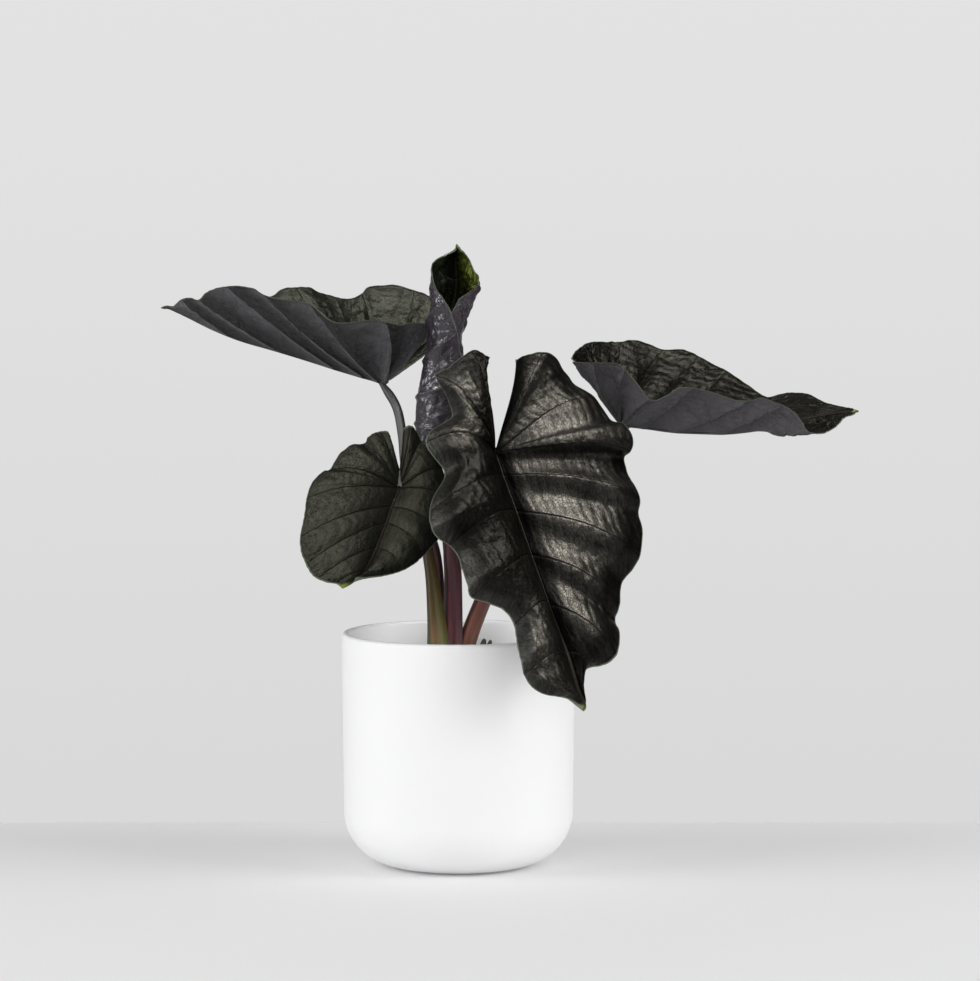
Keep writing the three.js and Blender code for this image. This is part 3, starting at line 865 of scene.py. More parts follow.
@dataclass
class BladePattern:
    """The form of one blade: its midrib, its two scalloped edges, and how far it is arched."""

    midrib: Route
    vein_starts: Sequence[float]
    left: Bays
    right: Bays
    sinus: tuple[float, float] = (0.0, 0.0)
    arch: tuple[float, float] = (0.0, 0.0)
    quilt: tuple[float, float] = (2.0, 2.0)
    roll: tuple[float, float] = (0.0, 0.0)
    rib: float = 1.5
    vein_bow: float = 0.13

    @property
    def bays(self) -> int:
        """Counts the bays between side veins."""
        return len(self.vein_starts) - 1

    def edge(self, side: Bays, c: np.ndarray) -> np.ndarray:
        """Follows one edge.

        Args:
            side: The edge's bays.
            c: Places along the blade from 0 at the lobe's corner to 1 at the tip.

        Returns:
            A point for each place.
        """
        ends = np.cumsum([len(bay) for bay in side]) - 1
        place = np.clip(c, 0, 1) * (len(ends) - 1)
        points = [point for bay in side for point in bay]
        return along_curve(points, np.interp(place, np.arange(len(ends)), ends))

    def start(self, c: np.ndarray) -> np.ndarray:
        """Gives how far along the midrib the side vein of each place starts."""
        return np.interp(np.clip(c, 0, 1) * self.bays, np.arange(self.bays + 1), self.vein_starts)

    def lay(self, points: np.ndarray) -> np.ndarray:
        """Puts the flat pattern in space. An open blade is drawn there already."""
        return points

    def ruled(self, c: np.ndarray, v: np.ndarray) -> np.ndarray:
        """Gives points on straight lines from the midrib to the edges.

        Args:
            c: Places along the blade.
            v: Places across it, from -1 at the left edge to 1 at the right.

        Returns:
            A point for each pair.
        """
        t = np.abs(v)
        bow = np.where(v < 0, self.sinus[0], self.sinus[1])
        bowed = c + bow * np.maximum(0, 1 / self.bays - c) * 4 * t * (1 - t)
        middle = along_curve(self.midrib, self.start(bowed) * (len(self.midrib) - 1))
        outer = np.where((v < 0)[:, None], self.edge(self.left, bowed), self.edge(self.right, bowed))
        return self.lay(middle + (outer - middle) * t[:, None])

    def upward(self, c: np.ndarray, v: np.ndarray) -> np.ndarray:
        """Gives the direction of the upper face.

        Args:
            c: Places along the blade.
            v: Places across it.

        Returns:
            A unit vector for each pair.
        """
        side = np.where(v < 0, -1.0, 1.0)
        step, beside = 1 / self.bays, 0.03
        t = np.clip(np.abs(v), beside, 1 - beside)
        ahead = self.ruled(np.minimum(c + step, 1), side * t)
        along = ahead - self.ruled(np.maximum(c - step, 0), side * t)
        across = self.ruled(c, side * (t + beside)) - self.ruled(c, side * (t - beside))
        face = np.cross(along, across)
        return side[:, None] * face / np.maximum(lengths(face), 1e-9)

    def bay_place(self, c: np.ndarray, v: np.ndarray) -> np.ndarray:
        """Gives the place in bays, whose whole numbers lie on the bowed side veins."""
        t = np.abs(v)
        inner = smoothstep(c, 0, 1 / self.bays) * smoothstep(1 - c, 0, 1 / self.bays)
        return c * self.bays + self.vein_bow * 4 * t * (1 - t) * inner

    def lift(self, c: np.ndarray, v: np.ndarray) -> np.ndarray:
        """Gives how far the face is raised by its arch, its quilting and its ripples.

        Args:
            c: Places along the blade.
            v: Places across it.

        Returns:
            Millimetres for each pair.
        """
        t = np.abs(v)
        length = np.sqrt(np.sin(np.pi * np.clip(c, 0, 1)))
        arch = np.where(v < 0, self.arch[0], self.arch[1]) * 4 * t * (1 - t)
        place = self.bay_place(c, v)
        within = place - np.floor(place)
        hollow = 1 - np.sqrt((2 * within - 1) ** 2 + 0.01) ** 1.5
        pillow = (np.sin(np.pi * place) ** 2 + 0.004) ** 0.35
        quilt = np.where(v < 0, self.quilt[0], self.quilt[1])
        panel = quilt * np.where(quilt < 0, hollow * smoothstep(c, 0.26, 0.4), pillow) * np.sin(np.pi * t)
        roll = np.where(v < 0, self.roll[0], self.roll[1]) * smoothstep(t, 0.78, 1.04)
        return length * (arch + panel - roll)

    def point(self, c: np.ndarray, v: np.ndarray) -> np.ndarray:
        """Gives points on the upper face."""
        return self.ruled(c, v) + self.upward(c, v) * self.lift(c, v)[:, None]


@dataclass
class RolledPattern(BladePattern):
    """A new blade, still rolled round its own midrib. Its flat pattern is x for degrees round the
    roll, away from the midrib, and z for height."""

    axis: Route = ()
    radii: Sequence[float] = ()
    seam: float = 2.4

    def lay(self, points: np.ndarray) -> np.ndarray:
        """Rolls the flat pattern up.

        Args:
            points: Rows of angle, 0 and height.

        Returns:
            Points in space.
        """
        angle, z = points[:, 0], points[:, 2]
        low, high = self.axis[0][2], self.axis[-1][2]
        level = np.clip((z - low) / (high - low), 0, 1) * (len(self.axis) - 1)
        centre = along_curve(self.axis, level)
        tuck = self.seam * smoothstep(-angle, 40, 130)
        wrap = 0.4 * self.seam * smoothstep(angle, 170, 260)
        radius = along_curve([(r,) for r in self.radii], level)[:, 0] - tuck + wrap
        turn = np.radians(angle)
        x, y = centre[:, 0] - radius * np.sin(turn), centre[:, 1] + radius * np.cos(turn)
        return np.column_stack([x, y, z])


@dataclass
class Blade:
    """One leaf blade, as a fine closed shell."""

    name: str
    pattern: BladePattern
    slot: Slot = Slot.LEAF
    columns_per_bay: int = 24
    rows: int = 132
    midrib_share: float = 0.42
    thickness: float = 0.8
    edge_thickness: float = 0.45
    rib_width: float = 1.7
    vein_rise: float = 1.1
    vein_width: float = 1.0
    ridge: float = 0.55
    ridge_width: float = 1.1
    gutter: float = 0.75
    gutter_place: float = 2.1
    gutter_width: float = 1.2
    pucker: float = 0.75
    pucker_size: float = 7.0
    left_pucker: float = 1.5
    knobs: float = 0.0
    knob_place: float = 0.84
    knob_width: float = 0.09
    frill: float = 0.45
    frill_pitch: tuple[float, float] = (60.0, 9.0)
    frill_reach: float = 3.0

    def shape(self, c: np.ndarray, across: np.ndarray) -> tuple[np.ndarray, dict[str, np.ndarray]]:
        """Gives the upper face and what its finish needs to know.

        Args:
            c: Places along the blade from 0 to 1.
            across: Places across it from 0 to 1.

        Returns:
            The points, and for each point its place, distances in millimetres and depth.
        """
        form = self.pattern
        v = 2 * across - 1
        v *= self.midrib_share + (1 - self.midrib_share) * np.abs(v)
        points = form.point(c, v)
        t = np.abs(v)
        side = np.where(v < 0, -1.0, 1.0)
        step = 0.25 / form.bays
        ahead, behind = np.minimum(c + step, 1), np.maximum(c - step, 0)
        run = form.ruled(ahead, v) - form.ruled(behind, v)
        ray = form.ruled(c, side * np.minimum(t + 0.02, 1)) - form.ruled(c, side * np.maximum(t - 0.02, 0))
        unit = ray / np.maximum(lengths(ray), 1e-9)
        sideways = run - unit * np.sum(run * unit, axis=1, keepdims=True)
        bay_mm = lengths(sideways)[:, 0] / (ahead - behind) / form.bays
        rib_step = form.ruled(ahead, side * 0.001) - form.ruled(behind, side * 0.001)
        rib_unit = rib_step / np.maximum(lengths(rib_step), 1e-9)
        slant = np.sqrt(np.clip(1 - np.sum(rib_unit * unit, axis=1) ** 2, 0.2, 1))
        slant = np.where(lengths(rib_step)[:, 0] < 0.5, 1.0, slant)
        reach = lengths(form.ruled(c, side) - form.ruled(c, side * 0.0))[:, 0] * slant
        margin = np.minimum((1 - t) * reach, self.from_sinus(points, c, v))
        numbers = {
            "along": c,
            "start": form.start(c),
            "bay": form.bay_place(c, v),
            "bay_mm": bay_mm,
            "side": v,
            "reach_mm": reach,
            "margin_mm": margin,
        }
        numbers["depth"] = self.depth(numbers)
        raised = self.relief(points, numbers)
        every, apart = self.frill_pitch
        notches = np.array([noise.noise((every * a, apart * b, 0)) for a, b in zip(c, side)])
        frilled = self.frill * notches * smoothstep(margin, self.frill_reach, 0)
        return points + form.upward(c, v) * raised[:, None] + unit * frilled[:, None], numbers

    def relief(self, points: np.ndarray, numbers: dict[str, np.ndarray]) -> np.ndarray:
        """Gives the fine relief of the blade: its midrib's ridge, the knobs at its left margin and
        the puckers towards both.

        Args:
            points: The points.
            numbers: Their places and distances.

        Returns:
            Millimetres to raise each point by.
        """
        t = np.abs(numbers["side"])
        out = t * numbers["reach_mm"] / self.ridge_width
        gutter = np.exp(-(((out - self.gutter_place) / self.gutter_width) ** 2))
        profile = np.exp(-(out**2)) - self.gutter * gutter
        begun = smoothstep(numbers["start"], 0.0, 0.04)
        ridge = self.ridge * profile * begun * (1.05 - numbers["start"])
        waves = [noise.fractal(Vector(spot) / self.pucker_size, 0.55, 2.1, 3) for spot in points]
        where = smoothstep(t, 0.12, 0.75) * (1 - 0.6 * smoothstep(t, 0.9, 1.0))
        band = np.exp(-(((t - self.knob_place) / self.knob_width) ** 2))
        bulge = np.sin(np.pi * numbers["bay"]) ** 2 * band
        on_left = numbers["side"] < 0
        puckers = self.pucker * np.array(waves) * where * np.where(on_left, self.left_pucker, 1.0)
        return ridge + puckers + self.knobs * bulge * on_left

    def from_sinus(self, points: np.ndarray, c: np.ndarray, v: np.ndarray) -> np.ndarray:
        """Measures how far points lie from the notch between the lobes.

        Args:
            points: The points.
            c: Their places along the blade.
            v: Their places across it.

        Returns:
            Millimetres for each point.
        """
        steps = np.maximum(np.linspace(0, 1, 60), 1e-6)
        near = np.full(len(points), 50.0)
        for sign in (-1.0, 1.0):
            notch = self.pattern.point(np.zeros_like(steps), sign * steps)
            ours = (np.sign(v) == sign) & (c < 4 / self.pattern.bays)
            gaps = np.linalg.norm(points[ours, None, :] - notch[None, :, :], axis=2)
            near[ours] = gaps.min(axis=1)
        return near

    def depth(self, numbers: dict[str, np.ndarray]) -> np.ndarray:
        """Gives the blade's thickness with its keel and ribs.

        Args:
            numbers: The places and distances of the points.

        Returns:
            Millimetres for each point.
        """
        t = np.abs(numbers["side"])
        out = t * numbers["reach_mm"]
        along = numbers["start"]
        bay = numbers["bay"]
        from_vein = np.abs(bay - np.round(bay)) * numbers["bay_mm"]
        keel = np.maximum(0, 1 - (out / (self.rib_width * (1.25 - along))) ** 2)
        ridge = np.exp(-((from_vein / self.vein_width) ** 2)) * (1 - t) ** 0.7 * smoothstep(out, 0, 4)
        body = self.edge_thickness + (self.thickness - self.edge_thickness) * smoothstep(
            numbers["margin_mm"], 0, 3
        )
        return body + self.pattern.rib * (1.1 - along) * np.sqrt(keel) + self.vein_rise * ridge

    def build(self) -> bmesh.types.BMesh:
        """Builds the blade.

        Returns:
            A closed shell, whose lower face has material 1.
        """
        bm = sheet(self.columns_per_bay * self.pattern.bays, self.rows, self.shape)
        bmesh.ops.remove_doubles(bm, verts=bm.verts, dist=0.02)
        bm.normal_update()
        depth = bm.verts.layers.float["depth"]
        lower = [(vert, vert.normal.copy()) for vert in bm.verts]
        faces = list(bm.faces)
        bmesh.ops.extrude_face_region(bm, geom=faces, use_keep_orig=True)
        bmesh.ops.reverse_faces(bm, faces=faces)
        for face in faces:
            face.material_index = 1
        for vert, normal in lower:
            vert.co -= normal * vert[depth]
        return bm

    def dress(self, upper: bpy.types.Material, under: bpy.types.Material) -> bpy.types.Object:
        """Makes the finished piece.

        Args:
            upper: The material of the upper face and the rim.
            under: The material of the lower face.

        Returns:
            The piece, which stands for its CAD node.
        """
        piece = finished(self.build(), f"{self.name}_velvet", self.slot, upper, under)
        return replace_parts(piece, self.name)


@dataclass
class Stalk:
    """A fleshy petiole: a tapering stalk along its own curve, with a channel up its inner side."""

    name: str
    route: Route
    radii: Sequence[float]
    slot: Slot
    channel_turn: float = 0.0
    channel_depth: float = 0.22
    channel_width: float = 0.30
    channel_reach: float = 0.55
    lip_share: float = 0.35
    lip_place: float = 0.62
    lip_width: float = 0.22
    sides: int = 40
    rings: int = 150
    neck: float = 12.0
    neck_share: float = 0.55
    neck_gap: float = 0.45
    neck_start: float = 0.6
    neck_sight: float = 9.0
    wobble: float = 0.05

    def rail(self) -> tuple[np.ndarray, np.ndarray, np.ndarray, np.ndarray, np.ndarray]:
        """Samples the route at even steps.

        Returns:
            For each ring its centre, its two cross directions, its radius and its distance along.
        """
        fine = np.linspace(0, len(self.route) - 1, 1200)
        track = along_curve(self.route, fine)
        gone = np.concatenate([[0], np.cumsum(np.linalg.norm(np.diff(track, axis=0), axis=1))])
        length = np.linspace(0, gone[-1], self.rings + 1)
        place = np.interp(length, gone, fine)
        centre = along_curve(self.route, place)
        radius = np.interp(place, np.arange(len(self.radii)), self.radii)
        tangent = np.gradient(centre, axis=0)
        tangent /= lengths(tangent)
        first = np.array([0.0, -1.0, 0.0])
        sideways = np.zeros_like(centre)
        for i, forward in enumerate(tangent):
            first = first - forward * (first @ forward)
            first = first / np.linalg.norm(first)
            sideways[i] = first
        return centre, sideways, np.cross(tangent, sideways), radius, length

    def shape(self, u: np.ndarray, around: np.ndarray) -> tuple[np.ndarray, dict[str, np.ndarray]]:
        """Wraps a grid round the route.

        Args:
            u: Places along the stalk from 0 to 1.
            around: Places round it from 0 to 1, from the front leftwards.

        Returns:
            The points, and how far along and round each one is.
        """
        centre, first, second, radius, length = self.rail()
        ring = np.clip(np.round(u * self.rings).astype(int), 0, self.rings)
        angle = 2 * np.pi * around
        off = np.abs((around - self.channel_turn + 0.5) % 1 - 0.5) * 2 * np.pi
        open_share = 1 - smoothstep(u, self.channel_reach * 0.5, self.channel_reach)
        depth = self.channel_depth * open_share
        channel = depth * np.exp(-((off / self.channel_width) ** 2))
        lips = self.lip_share * depth * np.exp(-(((off - self.lip_place) / self.lip_width) ** 2))
        broad = np.sin(2 * angle + 7 * u + self.radii[0])
        uneven = self.wobble * (broad + 0.5 * np.sin(3 * angle - 11 * u))
        neck = 1 - (1 - self.neck_share) * smoothstep(length[ring], length[-1] - self.neck, length[-1])
        size = radius[ring] * neck * (1 + uneven + lips - channel)
        out = np.cos(angle)[:, None] * first[ring] + np.sin(angle)[:, None] * second[ring]
        points = centre[ring] + out * size[:, None]
        return points, {"along": u, "around": around, "length": length[ring]}

    def build(self, leaf: Blade | None = None) -> bmesh.types.BMesh:
        """Builds the stalk.

        Args:
            leaf: The blade that it carries, under which its neck is pressed flat.

        Returns:
            A closed tube.
        """
        bm = sheet(self.rings, self.sides, self.shape)
        bmesh.ops.remove_doubles(bm, verts=bm.verts, dist=0.001)
        ends = [edge for edge in bm.edges if edge.is_boundary]
        bmesh.ops.holes_fill(bm, edges=ends, sides=0)
        bmesh.ops.recalc_face_normals(bm, faces=bm.faces)
        if leaf is not None:
            self.tuck(bm, leaf)
        return bm

    def tuck(self, bm: bmesh.types.BMesh, leaf: Blade) -> None:
        """Keeps the neck below the upper face of its blade.

        Args:
            bm: The stalk.
            leaf: The blade.
        """
        top = sheet(leaf.pattern.bays * 8, 40, leaf.shape)
        bmesh.ops.remove_doubles(top, verts=top.verts, dist=0.02)
        top.normal_update()
        tree = BVHTree.FromBMesh(top)
        along = bm.verts.layers.float["along"]
        for vert in bm.verts:
            if vert[along] < self.neck_start:
                continue
            spot, normal, _, _ = tree.find_nearest(vert.co, self.neck_sight)
            if spot is None:
                continue
            above = (vert.co - spot).dot(normal) + self.neck_gap
            if above > 0:
                vert.co -= normal * above
        top.free()

    def dress(self, skin: bpy.types.Material, leaf: Blade) -> bpy.types.Object:
        """Makes the finished piece.

        Args:
            skin: Its material.
            leaf: The blade that it carries.

        Returns:
            The piece, which stands for its CAD node.
        """
        piece = finished(self.build(leaf), f"{self.name}_skin", self.slot, skin)
        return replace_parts(piece, self.name)


@dataclass
class Pot:
    """The plain round pot: straight sides, a rounded foot and a soft lip."""

    height: float = 140.0
    rim_radius: float = 70.2
    waist_radius: float = 69.0
    foot_radius: float = 37.0
    wall: float = 4.2
    floor: float = 6.0
    foot_ring: float = 3.0
    recess: float = 0.9
    segments: int = 160
    arc_steps: int = 20

    @property
    def knee(self) -> float:
        """Gives the height where the rounded foot ends."""
        return self.waist_radius - self.foot_radius

    def inner_radius(self, z: float) -> float:
        """Gives the inside radius at a height."""
        share = (z - self.knee) / (self.height - self.knee)
        return self.waist_radius - self.wall + share * (self.rim_radius - self.waist_radius)

    def arc(self, x: float, z: float, radius: float, start: float, end: float) -> list[tuple[float, float]]:
        """Lists points on an arc.

        Args:
            x: The centre's distance from the axis.
            z: Its height.
            radius: The arc's radius.
            start: The first angle in degrees.
            end: The last angle in degrees.

        Returns:
            Distance and height of each point.
        """
        turns = np.radians(np.linspace(start, end, self.arc_steps + 1))
        return [(x + radius * math.cos(a), z + radius * math.sin(a)) for a in turns]

    def profile(self) -> list[tuple[float, float]]:
        """Lists the section from the middle of the underside, out, over the lip and back in."""
        lip = self.wall / 2
        shoulder = self.height - lip
        bowl = self.knee - self.floor
        inner_knee = self.inner_radius(self.knee)
        under = self.foot_radius - self.foot_ring
        points = [(0.0, self.recess), (under - self.recess, self.recess), (under, 0.0)]
        points += self.arc(self.foot_radius, self.knee, self.knee, -90, 0)
        points += [(self.rim_radius, shoulder)]
        points += self.arc(self.rim_radius - lip, shoulder, lip, 0, 180)[1:]
        points += self.arc(inner_knee - bowl, self.knee, bowl, 0, -90)
        points += [(0.0, self.floor)]
        return points

    def dress(self, glaze: bpy.types.Material) -> bpy.types.Object:
        """Spins the pot and glazes it.

        Args:
            glaze: Its material.

        Returns:
            The piece, which stands for its CAD node.
        """
        bm = bmesh.new()
        verts = [bm.verts.new((x, 0, z)) for x, z in self.profile()]
        edges = [bm.edges.new(pair) for pair in zip(verts, verts[1:])]
        whole = {"axis": (0, 0, 1), "angle": math.tau, "steps": self.segments, "use_merge": True}
        bmesh.ops.spin(bm, geom=verts + edges, cent=(0, 0, 0), **whole)
        bmesh.ops.remove_doubles(bm, verts=bm.verts, dist=0.001)
        bmesh.ops.recalc_face_normals(bm, faces=bm.faces)
        piece = finished(bm, "pot_glazed", Slot.POT, glaze)
        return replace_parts(piece, "pot")


@dataclass
class SoilBed:
    """The potting soil, heaped a little towards the stalks, with bark chips and perlite on it."""

    level: float = 113.0
    heap: tuple[float, float, float, float] = (3.2, -4.0, 2.0, 30.0)
    lump: float = 1.1
    chip_count: int = 28
    chip_reach: float = 54.0
    chip_length: float = 8.0
    chip_variation: float = 4.0
    chip_width: float = 0.62
    chip_thickness: float = 4.5
    chip_tilt: float = 0.4
    chip_rounding: float = 0.16
    chip_jolt: float = 0.22
    small_chips: int = 230
    small_length: tuple[float, float] = (2.4, 4.2)
    perlite_count: int = 90
    perlite_radii: tuple[float, float] = (0.6, 1.5)
    crumb: float = 0.9
    crumb_size: float = 4.0
    top_share: float = 0.8
    bowl_rise: float = 26.0
    rings: int = 84
    segments: int = 200
    seed: int = 5

    def height(self, x: np.ndarray, y: np.ndarray) -> np.ndarray:
        """Gives the height of the soil's broad form.

        Args:
            x: Places to the right.
            y: Places to the back.

        Returns:
            Heights in millimetres.
        """
        rise, at_x, at_y, width = self.heap
        away = np.hypot(x - at_x, y - at_y) / width
        broad = np.sin(0.31 * x + 1.1) * np.cos(0.27 * y - 0.4)
        slanting = 0.6 * np.sin(0.17 * (x - y) + 2)
        return self.level + rise * np.exp(-away * away) + self.lump * (broad + slanting)

    def shape(
        self, out: np.ndarray, around: np.ndarray, pot: Pot
    ) -> tuple[np.ndarray, dict[str, np.ndarray]]:
        """Gives the soil's surface and, past top_share of the way out, its underside.

        Args:
            out: Places from the middle of the top, over the edge, to the middle of the bottom.
            around: Places round the axis.
            pot: The pot that holds it.

        Returns:
            The points, and no named numbers.
        """
        edge = pot.inner_radius(self.level) - FIT
        on_top = out < self.top_share
        radius = edge * np.where(on_top, out / self.top_share, (1 - out) / (1 - self.top_share))
        x = radius * np.cos(math.tau * around)
        y = radius * np.sin(math.tau * around)
        spots = zip(x / self.crumb_size, y / self.crumb_size)
        crumbs = [noise.fractal((a, b, 0), 0.6, 2.1, 5) for a, b in spots]
        top = self.height(x, y) + self.crumb * np.array(crumbs)
        round_share = 1 - np.sqrt(np.maximum(1 - (radius / edge) ** 2, 0) + 1e-9)
        z = np.where(on_top, top, pot.floor + FIT + round_share * self.bowl_rise)
        return np.column_stack([x, y, z]), {}

    def bed(self, pot: Pot, earth: bpy.types.Material) -> bpy.types.Object:
        """Makes the body of the soil.

        Args:
            pot: The pot that holds it.
            earth: Its material.

        Returns:
            The piece, which stands for its CAD node.
        """
        bm = sheet(self.rings, self.segments, lambda out, around: self.shape(out, around, pot))
        bmesh.ops.remove_doubles(bm, verts=bm.verts, dist=0.01)
        bmesh.ops.recalc_face_normals(bm, faces=bm.faces)
        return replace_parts(finished(bm, "soil_bed", Slot.SOIL, earth), "soil")

    def chip(self, bm: bmesh.types.BMesh, size: Point, turn: Point, place: Point, tone: float) -> None:
        """Adds one rough flake.

        Args:
            bm: The mesh to add it to.
            size: Its length, width and thickness.
            turn: Its tilt about X, Y and Z in radians.
            place: Its middle.
            tone: How red its bark is, from 0 to 1.
        """
        layer = bm.verts.layers.float["tone"]
        before = len(bm.verts)
        made = bmesh.ops.create_cube(bm, size=1)["verts"]
        edges = list(dict.fromkeys(edge for vert in made for edge in vert.link_edges))
        bmesh.ops.subdivide_edges(bm, edges=edges, cuts=2, use_grid_fill=True)
        bm.verts.ensure_lookup_table()
        matrix = Matrix.Translation(place) @ Euler(turn).to_matrix().to_4x4()
        for vert in bm.verts[before:]:
            vert[layer] = tone
            round_off = 1 - self.chip_rounding * vert.co.length_squared
            jolt = noise.noise_vector((vert.co + Vector(place)) * 1.7) * self.chip_jolt
            vert.co = matrix @ Vector(s * (a * round_off + j) for s, a, j in zip(size, vert.co, jolt))

    def chips(self, pot: Pot, bark: bpy.types.Material) -> bpy.types.Object:
        """Makes the bark chips: the large ones of the packed soil and many small ones.

        Args:
            pot: The pot that holds them.
            bark: Their material.

        Returns:
            The chips as one piece.
        """
        noise.seed_set(self.seed)
        bm = bmesh.new()
        bm.verts.layers.float.new("tone")
        golden = math.pi * (3 - math.sqrt(5))
        for i in range(self.chip_count):
            away = self.chip_reach * math.sqrt((i + 3) / (self.chip_count + 3))
            length = self.chip_length + self.chip_variation * math.sin(i * 2.3)
            x, y = away * math.cos(i * golden), away * math.sin(i * golden)
            turn = (self.chip_tilt * math.sin(i * 1.7), self.chip_tilt * math.cos(i * 3.1), i * 1.9)
            place = (x, y, float(self.height(np.array(x), np.array(y))) + 0.3)
            size = (length * 1.12, length * self.chip_width, self.chip_thickness * 0.95)
            self.chip(bm, size, turn, place, 0.35 + 0.65 * ((i * 0.37) % 1))
        random = np.random.default_rng(self.seed)
        shortest, longer = self.small_length
        limit = pot.inner_radius(self.level) - 5
        for _ in range(self.small_chips):
            away, angle = limit * math.sqrt(random.random()), random.random() * math.tau
            x, y = away * math.cos(angle), away * math.sin(angle)
            length = shortest + longer * random.random() ** 2
            size = (length, length * random.uniform(0.4, 0.8), length * random.uniform(0.25, 0.45))
            turn = tuple(random.uniform(-0.5, 0.5, 2)) + (random.random() * math.tau,)
            place = (x, y, float(self.height(np.array(x), np.array(y))) + 0.5)
            self.chip(bm, size, turn, place, random.random())
        bmesh.ops.recalc_face_normals(bm, faces=bm.faces)
        return finished(bm, "bark_chips", Slot.SOIL, bark)

    def grains(self, pot: Pot, perlite: bpy.types.Material) -> bpy.types.Object:
        """Makes the perlite grains.

        Args:
            pot: The pot that holds them.
            perlite: Their material.

        Returns:
            The grains as one piece.
        """
        bm = bmesh.new()
        random = np.random.default_rng(self.seed + 1)
        limit = pot.inner_radius(self.level) - 4
        for _ in range(self.perlite_count):
            away, angle = limit * math.sqrt(random.random()), random.random() * math.tau
            x, y = away * math.cos(angle), away * math.sin(angle)
            radius = random.uniform(*self.perlite_radii)
            made = bmesh.ops.create_icosphere(bm, subdivisions=2, radius=1)["verts"]
            place = Vector((x, y, float(self.height(np.array(x), np.array(y))) + 0.5))
            for vert in made:
                bulge = 1 + 0.35 * noise.noise(vert.co * 1.6 + place)
                vert.co = place + vert.co * radius * bulge
        return finished(bm, "perlite", Slot.SOIL, perlite)


@dataclass
class DrySheath:
    """Two pointed scraps of an old leaf sheath, ribbed and split."""

    scraps: Sequence[Stalk]

    def dress(self, husk: bpy.types.Material) -> bpy.types.Object:
        """Makes both scraps as one piece.

        Args:
            husk: Their material.

        Returns:
            The piece, which stands for its CAD node.
        """
        bm = bmesh.new()
        for scrap in self.scraps:
            part = scrap.build()
            mesh = bpy.data.meshes.new("scrap")
            part.to_mesh(mesh)
            part.free()
            bm.from_mesh(mesh)
            bpy.data.meshes.remove(mesh)
        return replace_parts(finished(bm, "dry_husk", Slot.HUSK, husk), "dry_sheath")


@dataclass(frozen=True)
class SoftBox:
    """A large studio light."""

    name: str
    place: Point
    aim: Point
    size: tuple[float, float]
    power: float
    tone: Colour = (1.0, 1.0, 1.0)
    gloss: bool = False

    def hang(self) -> None:
        """Adds the light to the scene, for the highlights alone or for all but them."""
        data = bpy.data.lights.new(self.name, "AREA")
        data.shape = "RECTANGLE"
        data.size, data.size_y = self.size
        data.energy = self.power
        data.color = self.tone
        light = bpy.data.objects.new(self.name, data)
        light.visible_glossy = self.gloss
        light.visible_diffuse = not self.gloss
        light.visible_camera = False
        light.location = self.place
        toward = Vector(self.aim) - Vector(self.place)
        light.rotation_euler = toward.to_track_quat("-Z", "Y").to_euler()
        bpy.context.scene.collection.objects.link(light)


